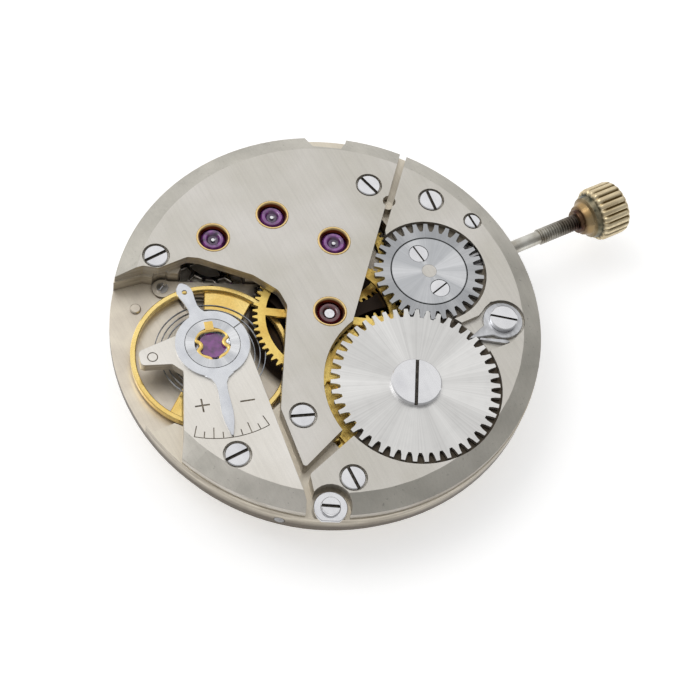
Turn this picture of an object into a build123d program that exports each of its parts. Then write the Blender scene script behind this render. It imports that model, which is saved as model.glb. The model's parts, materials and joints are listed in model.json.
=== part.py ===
from build123d import *
import math
import os

# Manually wound watch movement with small seconds. Every length is in millimetres.
# The origin is the centre of the movement on its dial seat. +Z points from the dial to the
# bridges and +X runs out along the winding stem. Places in plan are shares of the plate's
# radius and levels are shares of the movement's height, so both follow those two sizes.

# Whole movement
plate_r = 12.8
movement_h = 3.6
bridge_t = 1.0
bridge_setback = 0.06
bevel_inner_share = 0.906
bevel_drop = 0.5
dial_step_r = 12.35
dial_step_h = 1.2
overrun = 0.5
running_fit = 0.03
pressed_gap = 0.01
pivot_fit = 0.02

# So many small round forms repeat that below each of these radii they are prisms with this many sides
prism_limits = [(0.25, 8), (0.5, 12), (1.3, 24)]

# Places in plan, as shares of the plate's radius
third_share = (0.1977, 0.3281)
fourth_share = (-0.0039, 0.5742)
escape_share = (-0.3125, 0.5742)
balance_share = (-0.5664, 0.0664)
barrel_share = (0.1797, -0.4922)
crown_wheel_share = (0.5312, 0.0)
train_screw_shares = [(-0.5961, 0.5922), (0.5016, 0.5391), (-0.3602, -0.4188)]
train_screw_slots_deg = [5, 105, -20]
barrel_screw_shares = [(0.7383, 0.3438), (-0.3, -0.7789)]
barrel_screw_slots_deg = [83, 88]
cock_screw_share = (-0.7078, -0.4656)
cock_screw_slot_deg = 3
lever_screw_share = (0.8625, 0.1578)
case_screw_share = (-0.4453, -0.8477)
click_share = (0.7195, -0.3719)
channel_post_share = (0.5469, 0.418)
balance_pin_share = (-0.7969, 0.4141)
train_pin_shares = [(-0.695, 0.648), (-0.406, -0.547)]
barrel_pin_shares = [(0.885, 0.36), (-0.078, -0.906)]
cock_pin_shares = [(-0.828, -0.406), (-0.594, -0.695)]
dial_foot_share = 0.914
dial_feet_deg = [50, 230]
yoke_pivot_share = (0.6406, -0.2578)
yoke_spring_share = (0.4688, -0.2656)
jumper_screw_share = (0.672, 0.281)

# Outlines in plan: x, y and corner radius, as shares of the plate's radius
train_bridge_shares = [
    (-0.906, 0.598, 0), (-0.672, 0.566, 0.031), (-0.617, 0.527, 0.031), (-0.469, 0.527, 0.031),
    (-0.422, 0.5, 0.039), (-0.234, 0.316, 0.062), (-0.164, 0.195, 0.062), (-0.164, 0.109, 0.039),
    (-0.434, -0.348, 0.031), (-0.473, -0.648, 0.012), (-0.234, -0.555, 0.008), (0.016, -0.328, 0),
    (0.078, -0.082, 0), (0.828, 0.744, 0), (0.898, 1.172, 0), (-0.906, 1.172, 0)]
train_bridge_arc_share = 0.419
rim_flat_shares = [(0.359, 1.031), (0.363, 0.852), (0.48, 0.781), (0.527, 0.816), (0.656, 0.984)]
barrel_bridge_shares = [
    (0.852, 0.719, 0), (0.449, 0.281, 0.016), (0.406, 0.172, 0.023), (0.336, 0.031, 0.047),
    (0.352, -0.094, 0.023), (0.302, -0.187, 0.016), (0.123, -0.169, 0.078), (-0.052, -0.26, 0.078),
    (-0.137, -0.407, 0.078), (-0.148, -0.57, 0.031), (-0.195, -0.6, 0.016), (-0.465, -0.684, 0.023),
    (-0.492, -0.781, 0.031), (-0.508, -0.828, 0), (-0.57, -1.094, 0), (1.133, -1.094, 0),
    (1.133, 0.719, 0)]
cock_shares = [
    (-0.414, 0.078, 0.016), (-0.437, -0.098, 0.078), (-0.477, -0.41, 0.078), (-0.531, -0.781, 0.016),
    (-0.57, -0.852, 0.031), (-0.664, -1.094, 0), (-1.172, -1.094, 0), (-1.172, -0.484, 0),
    (-0.938, -0.391, 0.047), (-0.879, -0.285, 0.078), (-0.75, -0.016, 0.031), (-0.719, 0.078, 0.016)]
stud_arm_shares = [
    (-0.57, 0.184, 0), (-0.672, 0.176, 0.016), (-0.883, 0.172, 0.027), (-0.902, 0.102, 0.023),
    (-0.773, 0.051, 0.016), (-0.727, -0.031, 0.008), (-0.57, -0.031, 0)]
click_arm_shares = [
    (0.727, -0.289, 0.023), (0.633, -0.355, 0.023), (0.5255, -0.3886, 0), (0.633, -0.418, 0.023),
    (0.703, -0.461, 0.023)]
click_beak_index = 2
click_recess_shares = [
    (0.727, -0.258, 0.016), (0.625, -0.305, 0.016), (0.484, -0.305, 0), (0.484, -0.422, 0),
    (0.539, -0.484, 0.023), (0.695, -0.492, 0.039), (0.75, -0.469, 0.016)]
click_spring_shares = [(0.566, -0.414), (0.576, -0.409), (0.68, -0.468), (0.69, -0.484), (0.672, -0.484)]
keyless_recess_shares = [
    (0.43, -0.32, 0.03), (0.72, -0.32, 0.03), (0.74, -0.1, 0.03), (1.0, -0.1, 0), (1.0, 0.24, 0),
    (0.86, 0.26, 0.03), (0.72, 0.25, 0.03), (0.72, 0.06, 0.02), (0.5, 0.06, 0.02), (0.5, -0.1, 0.02),
    (0.43, -0.2, 0.03)]
setting_lever_shares = [
    (0.835, -0.004, 0), (0.88, -0.004, 0), (0.898, 0.158, 0.02), (0.86, 0.2, 0.02), (0.79, 0.232, 0.008),
    (0.768, 0.212, 0.008), (0.82, 0.15, 0.02)]
yoke_shares = [
    (0.617, -0.258, 0), (0.668, -0.258, 0), (0.606, -0.07, 0.03), (0.602, 0.024, 0), (0.574, 0.024, 0),
    (0.574, -0.07, 0.03)]
yoke_spring_strip_shares = [
    (0.46, -0.25, 0), (0.48, -0.25, 0), (0.548, -0.155, 0.03), (0.578, -0.108, 0), (0.568, -0.103, 0),
    (0.535, -0.15, 0.03)]
jumper_shares = [
    (0.65, 0.25, 0.02), (0.74, 0.235, 0.03), (0.83, 0.07, 0.03), (0.92, 0.06, 0.02), (0.92, 0.1, 0.02),
    (0.86, 0.125, 0.03), (0.78, 0.27, 0.03), (0.7, 0.32, 0.03), (0.64, 0.31, 0.02)]

# Levels, as shares of the movement's height, and the thickness of what lies there
bridge_web_share = 0.811
train_floor_share = 0.333
third_floor_share = 0.43
fourth_floor_share = 0.389
centre_floor_share = 0.394
balance_floor_share = 0.478
centre_well_share = 0.69
barrel_floor_share = 0.217
barrel_gear_floor_share = 0.45
centre_wheel_share = 0.7333
third_wheel_share = 0.4722
fourth_wheel_share = 0.5889
escape_wheel_share = 0.3889
centre_pinion_shares = (0.414, 0.712)
third_pinion_shares = (0.665, 0.8)
fourth_pinion_shares = (0.4222, 0.55)
escape_pinion_shares = (0.55, 0.672)
pallet_share = 0.3833
pallet_bridge_share = 0.4556
balance_rim_share = 0.5333
balance_arm_share = 0.556
roller_share = 0.4611
safety_roller_share = 0.3333
hairspring_share = 0.6778
stem_share = 0.5833
barrel_low_share = 0.239
barrel_teeth_shares = (0.486, 0.639)
barrel_top_share = 0.7
hour_wheel_share = 0.0333
minute_wheel_share = 0.125
cannon_teeth_shares = (0.117, 0.278)
setting_wheel_shares = (0.111, 0.347)
keyless_share = 0.061

# Winding wheels on the barrel bridge
winding_wheel_t = 0.26
winding_under_gap = 0.06
ratchet_teeth = 46
crown_wheel_teeth = 30
winding_teeth = 13
winding_addendum_share = 1.38
winding_dedendum_share = 1.3
ratchet_recess_gap = 0.13
crown_recess_gap = 0.16
ratchet_square = 1.2
ratchet_screw_r = 1.49
ratchet_screw_t = 0.3
ratchet_screw_shank_r = 0.4
ratchet_screw_shank_l = 1.0
ratchet_slot_w = 0.2
ratchet_slot_deg = 59
core_r = 2.33
core_boss_r = 1.9
core_lip_t = 0.14
core_screw_r = 0.6
core_screw_t = 0.14
core_screw_shank_r = 0.22
core_screw_shank_l = 0.3
core_screw_offset = 1.31
core_screw_slots_deg = [95, 15]
core_pin_r = 0.45

# Bridge screws and small fasteners
screw_head_r = 0.76
screw_head_t = 0.35
screw_head_gap = 0.06
screw_shank_r = 0.38
screw_reach = 2.2
slot_w = 0.14
slot_d = 0.14
lever_screw_r = 0.52
lever_screw_slot_deg = 90
click_screw_r = 0.82
click_slot_deg = -37
click_boss_r = 1.2
click_t = 0.2
click_recess_gap = 0.12
click_screw_t = 0.3
case_notch_r = 1.2
case_flange_r = 0.96
case_flange_t = 0.2
case_head_r = 0.55
case_head_t = 0.25
case_flange_share = 0.8
case_slot_deg = -30
steady_pin_r = 0.26
steady_pin_depth = 0.45
dial_foot_r = 0.35
dial_foot_depth = 1.9
dial_foot_screw_r = 0.3
dial_foot_screw_share = 0.45
dial_foot_screw_back = 0.1
channel_post_r = 0.3
balance_pin_r = 0.37
balance_pin_h = 0.3

# Jewels and their chatons
chaton_r = 1.0
chaton_lip = 0.12
chaton_proud = 0.03
chaton_t = 0.56
jewel_r = 0.62
jewel_t = 0.3
oil_sink_r = 0.4
oil_sink_d = 0.12
plate_jewel_r = 0.5
plate_jewel_t = 0.3
centre_jewel_r = 0.75

# Going train
wheel_t = 0.14
centre_wheel_t = 0.16
centre_wheel_teeth = 64
third_pinion_teeth = 8
third_wheel_teeth = 60
fourth_pinion_teeth = 8
fourth_wheel_teeth = 70
escape_pinion_teeth = 7
escape_teeth = 15
barrel_teeth = 70
centre_pinion_teeth = 14
wheel_rim_w = 0.45
wheel_spoke_w = 0.5
wheel_hub_r = 0.8
centre_arbor_r = 0.3
centre_arbor_body_r = 0.5
train_arbor_r = 0.24
train_pivot_r = 0.11
train_pivot_l = 0.28
seconds_pivot_r = 0.14
seconds_seat_r = 0.12
seconds_seat_l = 1.1
cavity_gap = 0.2
relief_gap = 0.25

# Barrel
barrel_wall = 0.35
barrel_base_t = 0.16
barrel_lid_t = 0.16
barrel_lip = 0.15
barrel_tooth_overhang = 0.24
barrel_arbor_core_r = 1.1
barrel_arbor_neck_r = 0.85
barrel_arbor_foot_r = 0.55
mainspring_turns = 5
mainspring_t = 0.16
mainspring_gap = 0.06

# Escapement
pallet_distance = 2.6
pallet_half_angle = 30
escape_rim_r = 1.5
escape_hub_r = 0.5
escape_root_r = 1.72
escape_spoke_w = 0.25
escape_phase_deg = 6
pallet_t = 0.14
pallet_hub_r = 0.35
pallet_arm_half = 1.78
pallet_arm_w = 0.5
lever_w = 0.26
fork_w = 0.84
fork_l = 0.6
fork_slot_w = 0.26
fork_slot_l = 0.32
dart_w = 0.2
dart_l = 0.6
stone_w = 0.24
stone_l = 1.0
stone_h = 0.22
stone_lock = 0.03
pallet_staff_r = 0.18
pallet_pivot_r = 0.07
pallet_pivot_l = 0.16
pallet_jewel_r = 0.35
pallet_bridge_t = 0.18
pallet_bridge_half = 3.5
pallet_bridge_w = 1.0
pallet_foot_half = 2.9
pallet_screw_r = 0.36
pallet_screw_t = 0.1
pallet_screw_shank_r = 0.2
pallet_screw_reach = 0.8
pallet_well_r = 2.1
banking_pin_r = 0.12
banking_pin_reach = 2.5
banking_pin_offset = 0.54

# Balance, roller, hairspring and regulator
balance_r = 4.68
balance_rim_w = 0.32
balance_rim_h = 0.44
balance_arm_t = 0.12
balance_arm_hub_w = 1.1
balance_arm_rim_w = 3.0
balance_arm_deg = 50
balance_hub_r = 0.75
balance_well_gap = 0.35
staff_r = 0.28
staff_collet_r = 0.42
staff_pivot_r = 0.08
roller_r = 1.05
roller_t = 0.14
safety_roller_r = 0.5
safety_notch_r = 0.2
impulse_place_r = 0.85
impulse_jewel_r = 0.1
impulse_jewel_h = 0.34
hairspring_h = 0.12
hairspring_t = 0.05
hairspring_inner_r = 0.52
hairspring_outer_r = 3.3
hairspring_turns = 9
stud_deg = 169
stud_r = 0.18
stud_top_gap = 0.35
cock_head_r = 2.2
shock_block_r = 1.58
shock_opening_r = 1.05
shock_proud = 0.14
shock_seat_t = 0.2
shock_cap_r = 0.8
shock_cap_t = 0.2
shock_hole_jewel_t = 0.2
shock_hole_jewel_r = 0.6
shock_spring_r = 1.0
shock_spring_w = 0.16
shock_spring_t = 0.08
shock_lobe_r = 0.34
shock_lobes = 4
lower_block_r = 1.2
lower_block_share = 0.1
regulator_r = 2.15
regulator_t = 0.14
regulator_tail_reach = 4.35
regulator_tail_w = 0.92
regulator_tail_shares = [(0.46, 0.6), (0.53, 0.4), (0.6, 0.33), (0.7, 0.38), (0.8, 0.48), (0.87, 0.5),
                         (0.94, 0.38), (0.985, 0.17), (1, 0.06)]
regulator_hole_place = 3.7
regulator_hole_r = 0.16
curb_pin_r = 0.07
curb_pin_gap = 0.05
regulator_pointer_deg = -105.3
regulator_pointer_reach = 5.9
regulator_pointer_w = 0.66
regulator_pointer_shares = [(0.34, 1.3), (0.385, 0.76), (0.44, 0.49), (0.52, 0.42), (0.75, 0.5), (0.85, 0.42),
                            (0.95, 0.2), (1, 0.08)]
regulator_split_w = 0.06
regulator_split_deg = 15

# Winding and setting
pinion_bore_r = 0.45
pinion_x_share = 0.683
pinion_body_r = 0.95
pinion_body_l = 0.65
pinion_teeth_l = 0.9
face_teeth = 8
face_teeth_l = 0.3
face_tooth_fill_share = 0.44
clutch_r = 0.95
clutch_l = 1.55
clutch_groove_r = 0.7
clutch_groove_l = 0.45
clutch_groove_from = 0.4
clutch_teeth = 12
clutch_teeth_l = 0.3
clutch_travel = 0.7
stem_pull = 0.8
stem_square = 0.6
stem_pilot_r = 0.25
stem_pilot_l = 1.4
stem_square_l = 2.9
stem_round_r = 0.42
stem_round_l = 1.7
stem_bearing_r = 0.55
stem_bearing_l = 1.95
stem_groove_r = 0.3
stem_groove_l = 0.45
stem_groove_from = 0.3
stem_neck_l = 2.7
stem_thread_r = 0.5
stem_thread_l = 4.3
channel_gap = 0.1
crown_r = 1.78
crown_l = 2.15
crown_flutes = 22
crown_flute_d = 0.15
crown_edge = 0.3
crown_collar_r = 1.3
crown_collar_tip_r = 0.95
crown_collar_l = 1.45
crown_bore_l = 1.8
keyless_t = 0.24
keyless_floor = 0.5
jumper_t = 0.16
jumper_recess = 0.2
lever_pin_r = 0.2
lever_pin_top_gap = 0.08
yoke_finger_w = 0.33
yoke_finger_l = 0.4
yoke_finger_gap = 0.08
yoke_hub_r = 0.55
yoke_post_r = 0.25
setting_post_r = 0.4
yoke_spring_hub_r = 0.35
yoke_spring_post_r = 0.175
yoke_spring_post_l = 0.2
small_screw_r = 0.32
small_screw_shank_r = 0.18
small_screw_reach = 0.9

# Motion works under the dial
cannon_teeth = 12
minute_wheel_teeth = 36
minute_pinion_teeth = 10
hour_wheel_teeth = 40
setting_wheel_teeth = 18
motion_distance = 2.9
setting_distance_share = 0.3867
motion_wheel_t = 0.22
hour_wheel_t = 0.24
minute_pinion_t = 0.36
cannon_pipe_r = 0.68
minute_seat_r = 0.52
minute_seat_l = 0.55
cannon_reach = 1.35
hour_pipe_r = 0.95
hour_reach = 0.75
minute_post_r = 0.3
motion_gap = 0.14

# Tooth outlines: turn and height of each corner, as shares of the pitch and the tooth's depth
plain_tooth_shares = [(-0.28, 0), (-0.1, 1), (0.1, 1), (0.28, 0)]
full_tooth_shares = [(-0.3, 0), (-0.2, 0.5), (-0.09, 1), (0.09, 1), (0.2, 0.5), (0.3, 0)]
winding_tooth_shares = [(-0.36, 0), (-0.24, 0.4), (-0.17, 1), (0.17, 1), (0.24, 0.4), (0.36, 0)]
escape_tooth_shares = [(-0.3, 0), (-0.06, 0.75), (-0.1, 1), (0.02, 0.93), (0.06, 0)]


def place(shares):
    """A place in plan from its shares of the plate's radius."""
    return (shares[0] * plate_r, shares[1] * plate_r)


def level(share):
    """A height above the dial seat."""
    return share * movement_h


def polar(centre, radius, degrees):
    """A point at a distance and direction from a centre."""
    angle = math.radians(degrees)
    return (centre[0] + radius * math.cos(angle), centre[1] + radius * math.sin(angle))


def heading(start, end):
    """Direction from one place to another, in degrees."""
    return math.degrees(math.atan2(end[1] - start[1], end[0] - start[0]))


def true_disc(radius, low, high, at=(0, 0)):
    """Upright cylinder between two levels, also where it is small: a seat that other parts go on."""
    base = (Align.CENTER, Align.CENTER, Align.MIN)
    return Pos(at[0], at[1], low) * Cylinder(radius, high - low, align=base)


def prism_sides(radius):
    """Number of sides of a small round form, or none where it is large enough to stay round."""
    for limit, sides in prism_limits:
        if radius < limit:
            return sides
    return None


def disc(radius, low, high, at=(0, 0)):
    """Upright cylinder between two levels, or a prism if it is a small one."""
    sides = prism_sides(radius)
    if sides is None:
        return true_disc(radius, low, high, at)
    prism = extrude(RegularPolygon(radius, sides), amount=high - low, dir=(0, 0, 1))
    return Pos(at[0], at[1], low) * prism


def ring(outer, inner, low, high, at=(0, 0)):
    """Upright tube between two levels."""
    return disc(outer, low, high, at) - disc(inner, low - overrun, high + overrun, at)


def cone(low_r, high_r, low, high, at=(0, 0)):
    """Upright cone frustum between two levels, with flat sides if it is a small one."""
    sides = prism_sides(low_r)
    if sides is None:
        base = (Align.CENTER, Align.CENTER, Align.MIN)
        return Pos(at[0], at[1], low) * Cone(low_r, high_r, high - low, align=base)
    ends = [RegularPolygon(low_r, sides), Pos(0, 0, high - low) * RegularPolygon(high_r, sides)]
    return Pos(at[0], at[1], low) * loft(ends, ruled=True)


def block(x_low, x_high, y_low, y_high, low, high):
    """Box between two corners."""
    corner = (Align.MIN, Align.MIN, Align.MIN)
    return Pos(x_low, y_low, low) * Box(x_high - x_low, y_high - y_low, high - low, align=corner)


def slab(points, low, high):
    """Flat plate with a straight-sided outline, between two levels."""
    return Pos(0, 0, low) * extrude(Polygon(*points), amount=high - low, dir=(0, 0, 1))


def rounded_slab(shares, low, high):
    """Flat plate between two levels, from an outline of points with corner radii."""
    points = [place(corner) for corner in shares]
    radii = [corner[2] * plate_r for corner in shares]
    face = make_face(FilletPolyline(*points, radius=radii, close=True))
    return Pos(0, 0, low) * extrude(face, amount=high - low, dir=(0, 0, 1))


def toothed(count, tip_r, root_r, low, high, at=(0, 0), phase=0, tooth_shares=plain_tooth_shares):
    """Toothed disc: one tooth stands at the phase angle."""
    points = []
    for tooth in range(count):
        for turn_share, height_share in tooth_shares:
            degrees = phase + (tooth + turn_share) * 360 / count
            points.append(polar(at, root_r + height_share * (tip_r - root_r), degrees))
    return slab(points, low, high)


def meshed_phase(line_deg, driver_count, driver_phase, count):
    """Phase of a wheel that meshes with a driver which lies behind it on the given line."""
    passed = ((line_deg - driver_phase) * driver_count / 360) % 1
    return line_deg + 180 + (passed + 0.5) * 360 / count


def module_of(centre_distance, first_count, second_count):
    """Tooth module of a meshing pair."""
    return 2 * centre_distance / (first_count + second_count)


def tip_radius(module, count, addendum_share=0.95):
    return module * (count / 2 + addendum_share)


def root_radius(module, count, dedendum_share=1.25):
    return module * (count / 2 - dedendum_share)


def along_stem(shape, x):
    """Stands a shape that was made about +Z on the stem's axis, pointing along +X."""
    return Pos(x, 0, stem_z) * Rot(0, 90, 0) * shape


def stem_disc(radius, x_low, x_high):
    return along_stem(disc(radius, 0, x_high - x_low), x_low)


def slotted_head(at, radius, low, high, slot_deg, width=slot_w):
    """Screw head with its driver slot."""
    half = radius + overrun
    slot = block(-half, half, -width / 2, width / 2, high - slot_d, high + overrun)
    return disc(radius, low, high, at) - Pos(at[0], at[1], 0) * Rot(0, 0, slot_deg) * slot


def screw(at, head_r, head_low, head_high, shank_r, shank_low, slot_deg, width=slot_w):
    head = slotted_head(at, head_r, head_low, head_high, slot_deg, width)
    return head + disc(shank_r, shank_low, head_low, at)


# Places and levels worked out from the sizes above
seat_z = movement_h - bridge_t
web_z = level(bridge_web_share)
stem_z = level(stem_share)
bridge_r = plate_r - bridge_setback
centre_at = (0, 0)
third_at = place(third_share)
fourth_at = place(fourth_share)
escape_at = place(escape_share)
balance_at = place(balance_share)
barrel_at = place(barrel_share)
crown_wheel_at = place(crown_wheel_share)
click_at = place(click_share)
lever_screw_at = place(lever_screw_share)
case_screw_at = place(case_screw_share)
cock_screw_at = place(cock_screw_share)
yoke_at = place(yoke_pivot_share)
yoke_spring_at = place(yoke_spring_share)
jumper_screw_at = place(jumper_screw_share)
setting_wheel_at = (setting_distance_share * plate_r, 0)
wheels_z = movement_h - winding_wheel_t
recess_z = wheels_z - winding_under_gap

# Tooth sizes of each meshing pair
winding_module = module_of(math.dist(barrel_at, crown_wheel_at), ratchet_teeth, crown_wheel_teeth)
barrel_module = module_of(math.dist(barrel_at, centre_at), barrel_teeth, centre_pinion_teeth)
centre_module = module_of(math.dist(centre_at, third_at), centre_wheel_teeth, third_pinion_teeth)
third_module = module_of(math.dist(third_at, fourth_at), third_wheel_teeth, fourth_pinion_teeth)
fourth_module = module_of(math.dist(fourth_at, escape_at), fourth_wheel_teeth, escape_pinion_teeth)
cannon_module = module_of(motion_distance, cannon_teeth, minute_wheel_teeth)
hour_module = module_of(motion_distance, minute_pinion_teeth, hour_wheel_teeth)
ratchet_tip_r = tip_radius(winding_module, ratchet_teeth, winding_addendum_share)
ratchet_root_r = root_radius(winding_module, ratchet_teeth, winding_dedendum_share)
crown_wheel_tip_r = tip_radius(winding_module, crown_wheel_teeth, winding_addendum_share)
crown_wheel_root_r = root_radius(winding_module, crown_wheel_teeth, winding_dedendum_share)
barrel_tip_r = tip_radius(barrel_module, barrel_teeth)
barrel_root_r = root_radius(barrel_module, barrel_teeth)
barrel_body_r = barrel_root_r - barrel_tooth_overhang + barrel_module
centre_tip_r = tip_radius(centre_module, centre_wheel_teeth)
third_tip_r = tip_radius(third_module, third_wheel_teeth)
fourth_tip_r = tip_radius(fourth_module, fourth_wheel_teeth)
escape_tip_r = pallet_distance * math.cos(math.radians(pallet_half_angle))
winding_pitch_r = winding_module * winding_teeth / 2
winding_tip_r = wheels_z + winding_wheel_t / 2 - stem_z

# Directions along the train
barrel_line = heading(barrel_at, centre_at)
third_line = heading(centre_at, third_at)
fourth_line = heading(third_at, fourth_at)
escape_line = heading(fourth_at, escape_at)
crown_line = heading(barrel_at, crown_wheel_at)
escapement_line = heading(escape_at, balance_at)
pallet_at = polar(escape_at, pallet_distance, escapement_line)
click_line = heading(barrel_at, place(click_arm_shares[click_beak_index]))
ratchet_phase = click_line + 180 / ratchet_teeth
crown_wheel_phase = meshed_phase(crown_line, ratchet_teeth, ratchet_phase, crown_wheel_teeth)

# The minute wheel meshes with the cannon pinion and the setting wheel
setting_module = cannon_module
setting_gear_distance = setting_module * (minute_wheel_teeth + setting_wheel_teeth) / 2
setting_wheel_x = setting_wheel_at[0]
minute_x = (motion_distance ** 2 - setting_gear_distance ** 2 + setting_wheel_x ** 2) / (2 * setting_wheel_x)
minute_at = (minute_x, math.sqrt(motion_distance ** 2 - minute_x ** 2))
minute_tip_r = tip_radius(cannon_module, minute_wheel_teeth)
setting_tip_r = tip_radius(setting_module, setting_wheel_teeth)
hour_tip_r = tip_radius(hour_module, hour_wheel_teeth)

# Stations along the stem, at rest with the crown pushed in
pinion_face_x = pinion_x_share * plate_r - face_teeth_l
pinion_body_x = pinion_face_x + face_teeth_l
pinion_teeth_x = pinion_body_x + pinion_body_l
pinion_end_x = pinion_teeth_x + pinion_teeth_l
clutch_end_x = pinion_body_x - running_fit
clutch_body_end_x = clutch_end_x - face_teeth_l
clutch_body_x = clutch_body_end_x - clutch_l + clutch_teeth_l
clutch_x = clutch_body_x - clutch_teeth_l
clutch_groove_x = clutch_body_x + clutch_groove_from
stem_bearing_x = pinion_end_x + channel_gap
stem_round_x = stem_bearing_x - stem_round_l
stem_square_x = stem_round_x - stem_square_l
stem_pilot_x = stem_square_x - stem_pilot_l
stem_groove_x = stem_bearing_x + stem_groove_from
stem_neck_x = stem_bearing_x + stem_bearing_l
stem_thread_x = stem_neck_x + stem_neck_l
stem_end_x = stem_thread_x + stem_thread_l
crown_face_x = stem_end_x - crown_bore_l + crown_collar_l
crown_collar_x = crown_face_x - crown_collar_l
lever_pin_at = (stem_groove_x + stem_groove_l / 2, 0)
yoke_finger_x = clutch_groove_x + clutch_groove_l / 2


def bridge_blank():
    """Common round blank of the three bridges, with the sloping rim."""
    wall_z = movement_h - bevel_drop
    return disc(bridge_r, seat_z, wall_z) + cone(bridge_r, bevel_inner_share * plate_r, wall_z, movement_h)


def screw_hole(at, head_r):
    """Counterbore and shank hole of a bridge screw."""
    sink = disc(head_r + screw_head_gap, movement_h - screw_head_t, movement_h + overrun, at)
    return sink + disc(screw_shank_r + running_fit, seat_z - overrun, movement_h, at)


def bridge_screw(at, slot_deg, head_r=screw_head_r):
    head_low = movement_h - screw_head_t
    return screw(at, head_r, head_low, movement_h, screw_shank_r, movement_h - screw_reach, slot_deg)


def stem_channel():
    """Room for the stem, the winding pinion and the sliding pinion."""
    clutch_low_x = stem_square_x - channel_gap
    pinion_room = winding_tip_r + channel_gap
    channel = stem_disc(pinion_room, pinion_body_x - channel_gap, pinion_end_x + channel_gap)
    channel += stem_disc(clutch_r + channel_gap, clutch_low_x, pinion_body_x)
    channel += stem_disc(stem_bearing_r + running_fit, pinion_end_x, plate_r + overrun)
    channel += stem_disc(stem_pilot_r + running_fit, stem_pilot_x - channel_gap, clutch_low_x)
    return channel


def pallet_frame(shape):
    """Moves a shape from the pallet staff's own axes, +X to the balance, to its place."""
    return Pos(pallet_at[0], pallet_at[1], 0) * Rot(0, 0, escapement_line) * shape


def pallet_bridge_outline(extra, low, high):
    half_w = pallet_bridge_w / 2 + extra
    bar = block(-half_w, half_w, -pallet_foot_half, pallet_foot_half, low, high)
    for side in (-1, 1):
        bar += disc(pallet_bridge_half - pallet_foot_half + extra, low, high, (0, side * pallet_foot_half))
    return pallet_frame(bar)


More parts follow.
